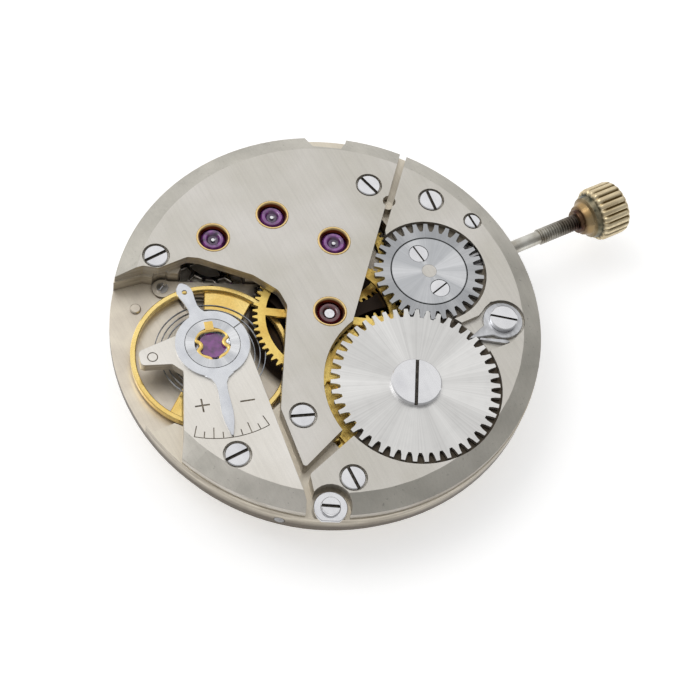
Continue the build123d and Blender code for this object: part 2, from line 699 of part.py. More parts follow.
def main_plate():
    plate = disc(dial_step_r, 0, dial_step_h) + disc(plate_r, dial_step_h, seat_z)
    top = seat_z + overrun
    train_floor = level(train_floor_share)
    wells = [
        (centre_at, centre_tip_r + cavity_gap, level(centre_well_share)),
        (centre_at, tip_radius(barrel_module, centre_pinion_teeth) + cavity_gap, level(centre_floor_share)),
        (third_at, third_tip_r + cavity_gap, level(third_floor_share)),
        (fourth_at, fourth_tip_r + cavity_gap, level(fourth_wheel_share) - cavity_gap),
        (fourth_at, tip_radius(third_module, fourth_pinion_teeth) + cavity_gap, level(fourth_floor_share)),
        (escape_at, escape_tip_r + cavity_gap, train_floor),
        (balance_at, balance_r + balance_well_gap, level(balance_floor_share)),
        (balance_at, roller_r + balance_well_gap, train_floor - cavity_gap),
        (barrel_at, barrel_tip_r + cavity_gap / 2, level(barrel_gear_floor_share)),
        (barrel_at, barrel_body_r + cavity_gap / 2, level(barrel_floor_share)),
        (pallet_at, pallet_well_r, train_floor)]
    for at, radius, floor in wells:
        plate -= disc(radius, floor, top, at)
    lever_reach = math.dist(pallet_at, balance_at)
    plate -= pallet_frame(block(0, lever_reach, -fork_w, fork_w, train_floor, top))
    plate -= pallet_bridge_outline(channel_gap, level(pallet_bridge_share), top)
    plate -= stem_channel()
    # Open side of the balance well, out to the rim
    open_side = disc(balance_r + balance_well_gap + bridge_t, level(balance_floor_share), top, balance_at)
    plate -= open_side & block(-plate_r - overrun, balance_at[0], -balance_r / 2, plate_r, 0, top)
    # Dial side: motion works, setting wheel and keyless works
    hour_roof = level(hour_wheel_share) + hour_wheel_t + motion_gap / 2
    minute_roof = level(minute_wheel_share) + motion_wheel_t + motion_gap
    cannon_roof = level(cannon_teeth_shares[1]) + motion_gap / 2
    setting_roof = level(setting_wheel_shares[1]) + motion_gap / 2
    plate -= disc(hour_tip_r + motion_gap, -overrun, hour_roof)
    plate -= disc(tip_radius(cannon_module, cannon_teeth) + motion_gap, -overrun, cannon_roof)
    plate -= ring(minute_tip_r + motion_gap, minute_post_r, -overrun, minute_roof, minute_at)
    plate -= disc(setting_tip_r + motion_gap, -overrun, setting_roof, setting_wheel_at)
    inside_rim = disc(dial_step_r - channel_gap, -overrun, keyless_floor)
    plate -= rounded_slab(keyless_recess_shares, -overrun, keyless_floor) & inside_rim
    plate -= rounded_slab(jumper_shares, -overrun, jumper_recess)
    finger_y = yoke_finger_l + yoke_finger_w / 2
    finger_low_x = yoke_finger_x - clutch_travel - yoke_finger_w
    plate -= block(finger_low_x, yoke_finger_x + yoke_finger_w, -finger_y, finger_y, 0, stem_z)
    pin_half = lever_pin_r + channel_gap
    pin_low_x = lever_pin_at[0] - pin_half
    pin_high_x = lever_pin_at[0] + stem_pull + pin_half
    plate -= block(pin_low_x, pin_high_x, -pin_half, pin_half + channel_gap, 0, stem_z)
    # Posts that stand on the plate
    plate += disc(yoke_post_r, 0, keyless_floor, yoke_at)
    plate += disc(setting_post_r, 0, setting_roof + motion_gap / 2, setting_wheel_at)
    plate += disc(channel_post_r, seat_z - overrun, movement_h - bevel_drop, place(channel_post_share))
    pin_root_z = level(balance_floor_share) - overrun
    plate += disc(balance_pin_r, pin_root_z, seat_z + balance_pin_h, place(balance_pin_share))
    for side in (-1, 1):
        pin_at = (banking_pin_reach, side * banking_pin_offset)
        plate += pallet_frame(disc(banking_pin_r, train_floor - overrun, level(pallet_bridge_share), pin_at))
    # Bearings, threads and pin holes
    plate -= disc(centre_jewel_r + pressed_gap, level(centre_floor_share) - plate_jewel_t, top, centre_at)
    plate -= disc(centre_arbor_r + cavity_gap, -overrun, top, centre_at)
    for at, floor in lower_bearings():
        plate -= disc(plate_jewel_r + pressed_gap, floor - plate_jewel_t, floor + overrun, at)
        plate -= disc(train_arbor_r, floor - plate_jewel_t - channel_gap, floor, at)
    plate -= disc(seconds_pivot_r + channel_gap, -overrun, top, fourth_at)
    plate -= disc(pallet_jewel_r + pressed_gap, train_floor - plate_jewel_t, train_floor + overrun, pallet_at)
    pallet_end_z = train_floor - plate_jewel_t - channel_gap
    plate -= disc(pallet_pivot_r + channel_gap, pallet_end_z, train_floor, pallet_at)
    plate -= disc(lower_block_r + pressed_gap, -overrun, top, balance_at)
    plate -= disc(barrel_arbor_foot_r + running_fit, -overrun, top, barrel_at)
    plate -= disc(click_boss_r / 2, seat_z - screw_head_t, top, click_at)
    for at in bridge_screw_places() + [case_screw_at]:
        plate -= disc(screw_shank_r + pressed_gap, movement_h - screw_reach - channel_gap, top, at)
    for share in train_pin_shares + barrel_pin_shares + cock_pin_shares:
        plate -= disc(steady_pin_r + running_fit, seat_z - steady_pin_depth - channel_gap, top, place(share))
    for degrees in dial_feet_deg:
        foot_at = polar(centre_at, dial_foot_share * plate_r, degrees)
        plate -= true_disc(dial_foot_r, -overrun, dial_foot_depth, foot_at)
        plate -= dial_foot_screw(degrees, running_fit, 0)
    thread_low = level(pallet_bridge_share) - pallet_screw_reach
    for side in (-1, 1):
        foot_at = (0, side * pallet_foot_half)
        plate -= pallet_frame(disc(pallet_screw_shank_r + pressed_gap, thread_low, top, foot_at))
    screw_end = small_screw_reach + channel_gap
    plate -= disc(small_screw_shank_r + pressed_gap, -overrun, screw_end, jumper_screw_at)
    plate -= disc(lever_screw_r / 2 + running_fit, -overrun, top, lever_screw_at)
    post_hole_high = keyless_floor + yoke_spring_post_l + pressed_gap
    plate -= disc(yoke_spring_post_r + pressed_gap, -overrun, post_hole_high, yoke_spring_at)
    return plate


def lower_bearings():
    """Place and floor level of the train's lower jewels."""
    return [
        (third_at, level(third_floor_share)),
        (fourth_at, level(fourth_floor_share)),
        (escape_at, level(train_floor_share))]


def bridge_screw_places():
    return [place(share) for share in train_screw_shares + barrel_screw_shares] + [cock_screw_at]


def dial_foot_screw(degrees, extra, back):
    """Grub screw that comes in from the rim and stands back from the dial foot's hole."""
    inner_end = dial_foot_share * plate_r + dial_foot_r + back
    rod = Rot(0, 90, 0) * disc(dial_foot_screw_r + extra, 0, plate_r - inner_end)
    return Rot(0, 0, degrees) * Pos(inner_end, 0, level(dial_foot_screw_share)) * rod


def train_bridge():
    top = movement_h + overrun
    bridge = bridge_blank() & rounded_slab(train_bridge_shares, seat_z - overrun, top)
    bridge -= disc(train_bridge_arc_share * plate_r, seat_z - overrun, top, barrel_at)
    bridge -= slab([place(share) for share in rim_flat_shares], seat_z, top)
    reliefs = [(centre_at, centre_tip_r), (third_at, third_tip_r), (fourth_at, fourth_tip_r),
               (escape_at, escape_tip_r), (barrel_at, barrel_tip_r)]
    for at, radius in reliefs:
        bridge -= disc(radius + relief_gap, seat_z - overrun, web_z, at)
    bridge -= pallet_bridge_outline(channel_gap, seat_z - overrun, web_z)
    for at in (centre_at, third_at, fourth_at, escape_at):
        bridge -= disc(chaton_r + pressed_gap, seat_z - overrun, top, at)
    for share in train_screw_shares:
        bridge -= screw_hole(place(share), screw_head_r)
    for share in train_pin_shares:
        bridge -= disc(steady_pin_r + pressed_gap, seat_z - overrun, seat_z + steady_pin_depth, place(share))
    bridge -= disc(channel_post_r + channel_gap, seat_z - overrun, top, place(channel_post_share))
    return bridge


def barrel_bridge():
    top = movement_h + overrun
    bridge = bridge_blank() & rounded_slab(barrel_bridge_shares, seat_z - overrun, top)
    bridge -= disc(ratchet_tip_r + ratchet_recess_gap, recess_z, top, barrel_at)
    bridge -= disc(crown_wheel_tip_r + crown_recess_gap, recess_z, top, crown_wheel_at)
    bridge -= disc(click_boss_r + click_recess_gap, recess_z, top, click_at)
    bridge -= rounded_slab(click_recess_shares, recess_z, top)
    bridge -= disc(centre_tip_r + relief_gap, seat_z - overrun, web_z, centre_at)
    bridge -= stem_channel()
    bridge += disc(core_pin_r, recess_z - channel_gap, movement_h, crown_wheel_at)
    bridge -= disc(barrel_arbor_neck_r + running_fit, seat_z - overrun, top, barrel_at)
    bridge -= disc(case_notch_r, seat_z - overrun, top, case_screw_at)
    bridge -= disc(screw_shank_r + running_fit, seat_z - overrun, top, click_at)
    bridge -= disc(lever_screw_r + screw_head_gap, movement_h - screw_head_t, top, lever_screw_at)
    bridge -= disc(lever_screw_r / 2 + running_fit, seat_z - overrun, top, lever_screw_at)
    bridge -= disc(channel_post_r + channel_gap, seat_z - overrun, top, place(channel_post_share))
    for at in core_screw_places():
        bridge -= disc(core_screw_shank_r + pressed_gap, recess_z - core_screw_shank_l - channel_gap, top, at)
    for share in barrel_screw_shares:
        bridge -= screw_hole(place(share), screw_head_r)
    for share in barrel_pin_shares:
        bridge -= disc(steady_pin_r + pressed_gap, seat_z - overrun, seat_z + steady_pin_depth, place(share))
    return bridge


def balance_cock():
    top = movement_h + overrun
    outline = rounded_slab(cock_shares, seat_z - overrun, top)
    outline += disc(cock_head_r, seat_z - overrun, top, balance_at)
    outline += rounded_slab(stud_arm_shares, seat_z - overrun, top)
    cock = bridge_blank() & outline
    cock -= disc(balance_r + balance_well_gap, seat_z - overrun, level(bridge_web_share), balance_at)
    cock -= disc(shock_block_r + pressed_gap, seat_z - overrun, top, balance_at)
    cock -= screw_hole(cock_screw_at, screw_head_r)
    cock -= disc(stud_r + pressed_gap, seat_z - overrun, movement_h - stud_top_gap, stud_at())
    cock -= disc(case_notch_r, seat_z - overrun, top, case_screw_at)
    for share in cock_pin_shares:
        cock -= disc(steady_pin_r + pressed_gap, seat_z - overrun, seat_z + steady_pin_depth, place(share))
    return cock


def stud_at():
    return polar(balance_at, hairspring_outer_r + hairspring_t + stud_r, stud_deg)


def core_screw_places():
    return [(crown_wheel_at[0], side * core_screw_offset) for side in (1, -1)]


def pallet_bridge():
    low = level(pallet_bridge_share)
    high = low + pallet_bridge_t
    bridge = pallet_bridge_outline(0, low, high)
    bridge -= disc(pallet_jewel_r + pressed_gap, low - overrun, high + overrun, pallet_at)
    for side in (-1, 1):
        foot_at = (0, side * pallet_foot_half)
        hole = disc(pallet_screw_shank_r + running_fit, low - overrun, high + overrun, foot_at)
        bridge -= pallet_frame(hole)
    return bridge


def bridge_screws():
    slots = train_screw_slots_deg + barrel_screw_slots_deg + [cock_screw_slot_deg]
    return [bridge_screw(at, slot_deg) for at, slot_deg in zip(bridge_screw_places(), slots)]


def small_screws():
    """Two screws of the pallet bridge and the screw of the setting lever jumper."""
    low = level(pallet_bridge_share)
    head_low = low + pallet_bridge_t
    screws = []
    for side in (-1, 1):
        foot = (0, side * pallet_foot_half)
        one = screw(foot, pallet_screw_r, head_low, head_low + pallet_screw_t, pallet_screw_shank_r,
                    low - pallet_screw_reach + channel_gap, side * pallet_half_angle)
        screws.append(pallet_frame(one))
    head_t = jumper_recess - jumper_t
    jumper_screw = disc(small_screw_r, -head_t, head_t, jumper_screw_at)
    jumper_screw += disc(small_screw_shank_r, head_t, small_screw_reach, jumper_screw_at)
    screws.append(jumper_screw)
    return screws


def case_screw():
    """Dog screw: the flange reaches over the case and is cut flat on the outside."""
    flange_z = level(case_flange_share)
    head_z = flange_z + case_flange_t
    piece = screw(case_screw_at, case_head_r, head_z, head_z + case_head_t, screw_shank_r,
                  movement_h - screw_reach, case_slot_deg)
    flange = disc(case_flange_r, flange_z, head_z, case_screw_at)
    outward = heading(centre_at, case_screw_at)
    cut_x = case_flange_r - slot_w
    low, high = flange_z - overrun, head_z + overrun
    cutter = block(cut_x, cut_x + overrun, -case_flange_r, case_flange_r, low, high)
    return piece + (flange - Pos(case_screw_at[0], case_screw_at[1], 0) * Rot(0, 0, outward) * cutter)


def dial_foot_screws():
    return [dial_foot_screw(degrees, 0, dial_foot_screw_back) for degrees in dial_feet_deg]


def steady_pins():
    low = seat_z - steady_pin_depth
    high = seat_z + steady_pin_depth - pressed_gap
    shares = train_pin_shares + barrel_pin_shares + cock_pin_shares
    return [disc(steady_pin_r, low, high, place(share)) for share in shares]


def chaton(at):
    """Gold setting: a short tube that opens upwards to the bridge's face."""
    low = movement_h - chaton_t
    high = movement_h + chaton_proud
    body = ring(chaton_r, jewel_r + pressed_gap, low, high, at)
    return body - cone(jewel_r + pressed_gap, chaton_r - chaton_lip, low + jewel_t, high, at)


def chatons():
    return [chaton(at) for at in (centre_at, third_at, fourth_at, escape_at)]


def hole_jewel(at, radius, hole_r, low, thickness, sink_r=oil_sink_r):
    """Jewel with its pivot hole and the oil sink on top."""
    high = low + thickness
    stone = disc(radius, low, high, at) - disc(hole_r, low - overrun, high + overrun, at)
    return stone - cone(hole_r, sink_r, high - oil_sink_d, high, at)


def upper_jewels():
    """Bearing jewels of the centre, third, fourth and escape arbors, and of the pallet staff."""
    low = movement_h - chaton_t
    jewels = [hole_jewel(centre_at, jewel_r, centre_arbor_r + pivot_fit, low, jewel_t)]
    for at in (third_at, fourth_at, escape_at):
        jewels.append(hole_jewel(at, jewel_r, train_pivot_r + pivot_fit, low, jewel_t))
    pallet_low = level(pallet_bridge_share)
    pallet_hole_r = pallet_pivot_r + pivot_fit
    jewels.append(hole_jewel(pallet_at, pallet_jewel_r, pallet_hole_r, pallet_low, pallet_bridge_t,
                             pallet_staff_r))
    return jewels


def lower_jewels():
    """The same arbors' bearings in the main plate."""
    centre_low = level(centre_floor_share) - plate_jewel_t
    centre_top = centre_low + plate_jewel_t
    jewels = [ring(centre_jewel_r, centre_arbor_r + pivot_fit, centre_low, centre_top, centre_at)]
    for at, floor in lower_bearings():
        pivot_r = seconds_pivot_r if at == fourth_at else train_pivot_r
        jewels.append(ring(plate_jewel_r, pivot_r + pivot_fit, floor - plate_jewel_t, floor, at))
    floor = level(train_floor_share)
    jewels.append(ring(pallet_jewel_r, pallet_pivot_r + pivot_fit, floor - plate_jewel_t, floor, pallet_at))
    return jewels


# Stack of the two shock settings, from the balance outwards
upper_block_low = web_z - pressed_gap
upper_block_high = movement_h + shock_proud
upper_hole_jewel_z = upper_block_low + shock_seat_t
upper_cap_z = upper_hole_jewel_z + shock_hole_jewel_t + pressed_gap
lower_block_high = level(train_floor_share) - cavity_gap
lower_block_low = level(lower_block_share)
lower_hole_jewel_z = lower_block_high - shock_seat_t - shock_hole_jewel_t
lower_cap_z = lower_hole_jewel_z - pressed_gap - shock_cap_t
lower_spring_z = lower_cap_z - shock_spring_t - pressed_gap
upper_spring_z = upper_cap_z + shock_cap_t + pressed_gap


def shock_block(radius, low, high, seat_low, seat_high):
    """Bush with an open well for the jewels, closed at the balance side by a thin seat."""
    bush = disc(radius, low, high, balance_at)
    well_low, well_high = (seat_high, high + overrun) if seat_low == low else (low - overrun, seat_low)
    bush -= disc(shock_opening_r, well_low, well_high, balance_at)
    return bush - disc(staff_collet_r, low - overrun, high + overrun, balance_at)


def shock_blocks():
    upper = shock_block(shock_block_r, upper_block_low, upper_block_high, upper_block_low, upper_hole_jewel_z)
    lower_seat = lower_block_high - shock_seat_t
    lower = shock_block(lower_block_r, lower_block_low, lower_block_high, lower_seat, lower_block_high)
    return [upper, lower]


def shock_jewels():
    """Hole jewel and cap jewel above and below the balance staff."""
    hole_r = staff_pivot_r + pivot_fit
    upper_high = upper_hole_jewel_z + shock_hole_jewel_t
    lower_high = lower_hole_jewel_z + shock_hole_jewel_t
    return [
        ring(shock_hole_jewel_r, hole_r, upper_hole_jewel_z, upper_high, balance_at),
        disc(shock_cap_r, upper_cap_z, upper_cap_z + shock_cap_t, balance_at),
        ring(shock_hole_jewel_r, hole_r, lower_hole_jewel_z, lower_high, balance_at),
        disc(shock_cap_r, lower_cap_z, lower_cap_z + shock_cap_t, balance_at)]


def shock_spring(low):
    """Lyre clip: a thin ring drawn in by lobes, with its hinge tongue and two legs."""
    high = low + shock_spring_t
    spring = ring(shock_spring_r, shock_spring_r - shock_spring_w, low, high, balance_at)
    for lobe in range(shock_lobes):
        centre = polar(balance_at, shock_spring_r, stud_deg / 2 + lobe * 360 / shock_lobes)
        bite = ring(shock_lobe_r, shock_lobe_r - shock_spring_w / 2, low, high, centre)
        inside = disc(shock_spring_r, low, high, balance_at)
        spring -= disc(shock_lobe_r - shock_spring_w / 2, low - overrun, high + overrun, centre)
        spring += bite & inside
    return spring


def shock_springs():
    return [shock_spring(upper_spring_z), shock_spring(lower_spring_z)]


def crown_wheel_core():
    """Steel core that holds the crown wheel down: a boss with a wider lip."""
    lip_z = movement_h - core_lip_t
    core = disc(core_boss_r, recess_z, lip_z, crown_wheel_at)
    core += disc(core_r, lip_z, movement_h, crown_wheel_at)
    core -= disc(core_pin_r + pressed_gap, recess_z - overrun, movement_h + overrun, crown_wheel_at)
    for at in core_screw_places():
        core -= disc(core_screw_r + pressed_gap, movement_h - core_screw_t, movement_h + overrun, at)
        core -= disc(core_screw_shank_r + running_fit, recess_z - overrun, movement_h, at)
    return core


def crown_wheel_screws():
    low = recess_z - core_screw_shank_l
    head_low = movement_h - core_screw_t
    return [screw(at, core_screw_r, head_low, movement_h, core_screw_shank_r, low, slot_deg)
            for at, slot_deg in zip(core_screw_places(), core_screw_slots_deg)]


def crown_wheel():
    wheel = toothed(crown_wheel_teeth, crown_wheel_tip_r, crown_wheel_root_r, wheels_z, movement_h,
                    crown_wheel_at, crown_wheel_phase, winding_tooth_shares)
    wheel -= disc(core_boss_r + running_fit, wheels_z - overrun, movement_h + overrun, crown_wheel_at)
    step_z = movement_h - core_lip_t - running_fit
    return wheel - disc(core_r + running_fit, step_z, movement_h + overrun, crown_wheel_at)


def ratchet_wheel():
    wheel = toothed(ratchet_teeth, ratchet_tip_r, ratchet_root_r, wheels_z, movement_h,
                    barrel_at, ratchet_phase, winding_tooth_shares)
    half = ratchet_square / 2 + pressed_gap
    hole = block(-half, half, -half, half, wheels_z - overrun, movement_h + overrun)
    return wheel - Pos(barrel_at[0], barrel_at[1], 0) * hole


def ratchet_screw():
    return screw(barrel_at, ratchet_screw_r, movement_h, movement_h + ratchet_screw_t, ratchet_screw_shank_r,
                 movement_h - ratchet_screw_shank_l, ratchet_slot_deg, ratchet_slot_w)


# Barrel levels
drum_low = level(barrel_low_share)
drum_high = level(barrel_top_share)
drum_floor = drum_low + barrel_base_t
lid_low = drum_high - barrel_lid_t
drum_inner_r = barrel_body_r - barrel_wall


def barrel_arbor():
    core_low = drum_floor + running_fit
    core_high = lid_low - running_fit
    arbor = disc(barrel_arbor_foot_r, drum_low - steady_pin_depth, core_low, barrel_at)
    arbor += disc(barrel_arbor_core_r, core_low, core_high, barrel_at)
    arbor += disc(barrel_arbor_neck_r, core_high, wheels_z, barrel_at)
    half = ratchet_square / 2
    square_high = movement_h - pressed_gap
    arbor += Pos(barrel_at[0], barrel_at[1], 0) * block(-half, half, -half, half, wheels_z, square_high)
    thread_low = movement_h - ratchet_screw_shank_l - channel_gap
    return arbor - disc(ratchet_screw_shank_r + pressed_gap, thread_low, movement_h + overrun, barrel_at)


def barrel_drum():
    drum = disc(barrel_body_r, drum_low, drum_high, barrel_at)
    teeth_low, teeth_high = level(barrel_teeth_shares[0]), level(barrel_teeth_shares[1])
    drum += toothed(barrel_teeth, barrel_tip_r, barrel_root_r, teeth_low, teeth_high, barrel_at, barrel_line)
    drum -= disc(drum_inner_r, drum_floor, drum_high + overrun, barrel_at)
    drum -= disc(drum_inner_r + barrel_lip, lid_low, drum_high + overrun, barrel_at)
    return drum - disc(barrel_arbor_foot_r + running_fit, drum_low - overrun, drum_high, barrel_at)


def barrel_lid():
    outer_r = drum_inner_r + barrel_lip - pressed_gap
    return ring(outer_r, barrel_arbor_neck_r + running_fit, lid_low, drum_high, barrel_at)


def wound_strip(centre, inner_r, outer_r, turns, thickness, low, high, end_deg):
    """Flat ribbon wound in half turns about two centres, its outer end at the given direction."""
    halves = 2 * turns
    step = (outer_r - inner_r) / halves
    edges = []
    for half in range(halves):
        side = 1 - 2 * (half % 2)
        radius = inner_r + half * step + step / 2
        for offset in (-thickness / 2, thickness / 2):
            edges.append(CenterArc((-side * step / 2, 0), radius + offset, 90 - side * 90, 180))
    for end_r in (inner_r, outer_r):
        edges.append(Line((end_r - thickness / 2, 0), (end_r + thickness / 2, 0)))
    ribbon = extrude(make_face(edges), amount=high - low, dir=(0, 0, 1))
    return Pos(centre[0], centre[1], low) * Rot(0, 0, end_deg) * ribbon


def mainspring():
    low = drum_floor + mainspring_gap
    high = lid_low - mainspring_gap
    inner_r = barrel_arbor_core_r + mainspring_gap + mainspring_t
    outer_r = drum_inner_r - mainspring_gap - mainspring_t / 2
    return wound_strip(barrel_at, inner_r, outer_r, mainspring_turns, mainspring_t, low, high, 0)


def click():
    low = recess_z + running_fit
    high = low + click_t
    arm = rounded_slab(click_arm_shares, low, high)
    piece = arm + disc(click_boss_r, low, high, click_at)
    return piece - disc(screw_shank_r + running_fit, low - overrun, high + overrun, click_at)


def click_screw():
    head_low = recess_z + running_fit + click_t + running_fit
    return screw(click_at, click_screw_r, head_low, head_low + click_screw_t, screw_shank_r,
                 seat_z - screw_head_t + pressed_gap, click_slot_deg)


def click_spring():
    low = recess_z + running_fit
    return slab([place(share) for share in click_spring_shares], low, low + click_t)


def spoked_wheel(at, count, tip_r, root_r, low, thickness, bore_r, phase, tooth_shares=plain_tooth_shares):
    """Train wheel: toothed rim, straight spokes and a hub."""
    high = low + thickness
    wheel = toothed(count, tip_r, root_r, low, high, at, phase, tooth_shares)
    window = ring(root_r - wheel_rim_w, wheel_hub_r, low - overrun, high + overrun)
    half = wheel_spoke_w / 2
    for turn in (0, 90):
        bar = block(-tip_r, tip_r, -half, half, low - 2 * overrun, high + 2 * overrun)
        window -= Rot(0, 0, phase + turn) * bar
    wheel -= Pos(at[0], at[1], 0) * window
    return wheel - disc(bore_r, low - overrun, high + overrun, at)


def centre_wheel():
    root = root_radius(centre_module, centre_wheel_teeth)
    return spoked_wheel(centre_at, centre_wheel_teeth, centre_tip_r, root, level(centre_wheel_share),
                        centre_wheel_t, centre_arbor_body_r + pressed_gap, third_line,
                        full_tooth_shares)


def third_wheel():
    root = root_radius(third_module, third_wheel_teeth)
    return spoked_wheel(third_at, third_wheel_teeth, third_tip_r, root,
                        level(third_wheel_share), wheel_t, train_arbor_r + pressed_gap, fourth_line)


def fourth_wheel():
    root = root_radius(fourth_module, fourth_wheel_teeth)
    return spoked_wheel(fourth_at, fourth_wheel_teeth, fourth_tip_r, root,
                        level(fourth_wheel_share), wheel_t, train_arbor_r + pressed_gap, escape_line)


def escape_wheel():
    """Club-toothed wheel of the lever escapement."""
    low = level(escape_wheel_share)
    high = low + wheel_t
    phase = escapement_line + escape_phase_deg + pallet_half_angle
    wheel = toothed(escape_teeth, escape_tip_r, escape_root_r, low, high, escape_at, phase,
                    escape_tooth_shares)
    window = ring(escape_rim_r, escape_hub_r, low - overrun, high + overrun)
    half = escape_spoke_w / 2
    for turn in (0, 90):
        bar = block(-escape_tip_r, escape_tip_r, -half, half, low - 2 * overrun, high + 2 * overrun)
        window -= Rot(0, 0, turn) * bar
    wheel -= Pos(escape_at[0], escape_at[1], 0) * window
    return wheel - disc(train_arbor_r + pressed_gap, low - overrun, high + overrun, escape_at)


def pinion(at, module, count, levels, body_r, body_low, body_high, pivot_r, pivot_low, pivot_high, phase):
    """Leaved pinion cut on its arbor, with a pivot at each end."""
    low, high = level(levels[0]), level(levels[1])
    leaves = toothed(count, tip_radius(module, count), root_radius(module, count), low, high, at, phase)
    arbor = disc(body_r, body_low, body_high, at)
    return leaves + arbor + disc(pivot_r, pivot_low, pivot_high, at)


def centre_pinion():
    phase = meshed_phase(barrel_line, barrel_teeth, barrel_line, centre_pinion_teeth)
    low = level(centre_floor_share) + running_fit
    return pinion(centre_at, barrel_module, centre_pinion_teeth, centre_pinion_shares,
                  centre_arbor_body_r, low, web_z, centre_arbor_r, -cannon_reach + channel_gap,
                  movement_h - chaton_t + jewel_t, phase)


def third_pinion():
    phase = meshed_phase(third_line, centre_wheel_teeth, third_line, third_pinion_teeth)
    return train_pinion(third_at, centre_module, third_pinion_teeth, third_pinion_shares, third_floor_share,
                        phase)


def train_pinion(at, module, count, levels, floor_share, phase):
    """Pinion of the third, fourth or escape wheel, on its arbor with two pivots."""
    floor = level(floor_share)
    jewel_low = movement_h - chaton_t
    return pinion(at, module, count, levels, train_arbor_r, floor + running_fit, jewel_low - running_fit,
                  train_pivot_r, floor - plate_jewel_t, jewel_low + train_pivot_l, phase)


def fourth_pinion():
    phase = meshed_phase(fourth_line, third_wheel_teeth, fourth_line, fourth_pinion_teeth)
    piece = train_pinion(fourth_at, third_module, fourth_pinion_teeth, fourth_pinion_shares,
                         fourth_floor_share, phase)
    piece += disc(seconds_pivot_r, 0, level(fourth_floor_share) + running_fit, fourth_at)
    return piece + disc(seconds_seat_r, -seconds_seat_l, 0, fourth_at)


def escape_pinion():
    phase = meshed_phase(escape_line, fourth_wheel_teeth, escape_line, escape_pinion_teeth)
    return train_pinion(escape_at, fourth_module, escape_pinion_teeth, escape_pinion_shares,
                        train_floor_share, phase)


def stone_outline(extra, low, high):
    """Both pallet stones, each pointing at the escape wheel's centre, in the staff's axes."""
    tip = escape_tip_r - stone_lock
    stones = []
    for side in (-1, 1):
        bar = block(tip, tip + stone_l, -stone_w / 2 - extra, stone_w / 2 + extra, low, high)
        stones.append(Pos(-pallet_distance, 0, 0) * Rot(0, 0, side * pallet_half_angle) * bar)
    return stones


def pallet_fork():
    low = level(pallet_share)
    high = low + pallet_t
    lever_l = math.dist(pallet_at, balance_at) - impulse_place_r
    fork_x = lever_l - fork_slot_l / 2 - fork_l / 2
    fork_end = lever_l + fork_slot_l / 2
    fork = disc(pallet_hub_r, low, high)
    fork += block(-pallet_arm_w / 2, pallet_arm_w, -pallet_arm_half, pallet_arm_half, low, high)
    horn_back = fork_x + lever_w
    fork += slab([(0, -lever_w), (horn_back, -lever_w / 2), (horn_back, lever_w / 2), (0, lever_w)],
                 low, high)
    fork += slab([(fork_x, -lever_w / 2), (horn_back, -fork_w / 2), (fork_end, -fork_w / 2),
                  (fork_end, fork_w / 2), (horn_back, fork_w / 2), (fork_x, lever_w / 2)], low, high)
    slot_half = fork_slot_w / 2
    fork -= block(lever_l - fork_slot_w, fork_end + overrun, -slot_half, slot_half, low - overrun,
                  high + overrun)
    dart_end = math.dist(pallet_at, balance_at) - safety_roller_r - channel_gap
    dart_low = level(safety_roller_share)
    dart_back = dart_end - dart_l
    fork += slab([(dart_back, -dart_w / 2), (dart_end, 0), (dart_back, dart_w / 2)], dart_low, low)
    for stone in stone_outline(pressed_gap, low - overrun, high + overrun):
        fork -= stone
    fork -= disc(pallet_staff_r + pressed_gap, low - overrun, high + overrun)
    return pallet_frame(fork)


def pallet_stones():
    low = level(pallet_share) - (stone_h - pallet_t) / 2
    return [pallet_frame(stone) for stone in stone_outline(0, low, low + stone_h)]


def pallet_staff():
    floor = level(train_floor_share)
    top = level(pallet_bridge_share)
    staff = disc(pallet_staff_r, floor + running_fit, top - running_fit, pallet_at)
    return staff + disc(pallet_pivot_r, floor - pallet_pivot_l, top + pallet_pivot_l, pallet_at)


def balance_wheel():
    """Smooth-rimmed balance with two broad arms that widen to the rim."""
    low = level(balance_rim_share)
    wheel = ring(balance_r, balance_r - balance_rim_w, low, low + balance_rim_h, balance_at)
    arm_low = level(balance_arm_share)
    arm_high = arm_low + balance_arm_t
    inner = balance_r - balance_rim_w / 2
    for turn in (0, 180):
        arm = slab([(0, -balance_arm_hub_w / 2), (inner, -balance_arm_rim_w / 2),
                    (inner, balance_arm_rim_w / 2), (0, balance_arm_hub_w / 2)], arm_low, arm_high)
        arm &= disc(inner, arm_low, arm_high)
        wheel += Pos(balance_at[0], balance_at[1], 0) * Rot(0, 0, balance_arm_deg + turn) * arm
    wheel += disc(balance_hub_r, arm_low, arm_high, balance_at)
    return wheel - disc(staff_r + pressed_gap, arm_low - overrun, arm_high + overrun, balance_at)


def balance_staff():
    roller_low = level(safety_roller_share)
    collet_low = level(balance_arm_share) + balance_arm_t
    collet_high = level(hairspring_share) + hairspring_h
    staff = disc(staff_r, roller_low, collet_high, balance_at)
    staff += disc(staff_collet_r, collet_low, collet_high, balance_at)
    return staff + disc(staff_pivot_r, lower_hole_jewel_z, upper_hole_jewel_z + shock_hole_jewel_t, balance_at)


def roller():
    """Double roller: the table that carries the jewel and the notched safety roller."""
    low = level(roller_share)
    safety_low = level(safety_roller_share)
    neck_r = staff_r + lever_w / 2
    piece = disc(roller_r, low, low + roller_t, balance_at)
    piece += disc(neck_r, safety_low, low, balance_at)
    safety = disc(safety_roller_r, safety_low, safety_low + roller_t, balance_at)
    notch_at = polar(balance_at, safety_roller_r + safety_notch_r / 2, escapement_line + 180)
    safety -= disc(safety_notch_r, safety_low - overrun, low, notch_at)
    piece += safety
    piece -= disc(impulse_jewel_r + pressed_gap, low - overrun, low + roller_t + overrun, impulse_at())
    return piece - disc(staff_r + pressed_gap, safety_low - overrun, low + roller_t + overrun, balance_at)


def impulse_at():
    return polar(balance_at, impulse_place_r, escapement_line + 180)


def impulse_jewel():
    high = level(roller_share) + roller_t
    return disc(impulse_jewel_r, high - roller_t - impulse_jewel_h + pressed_gap, high, impulse_at())


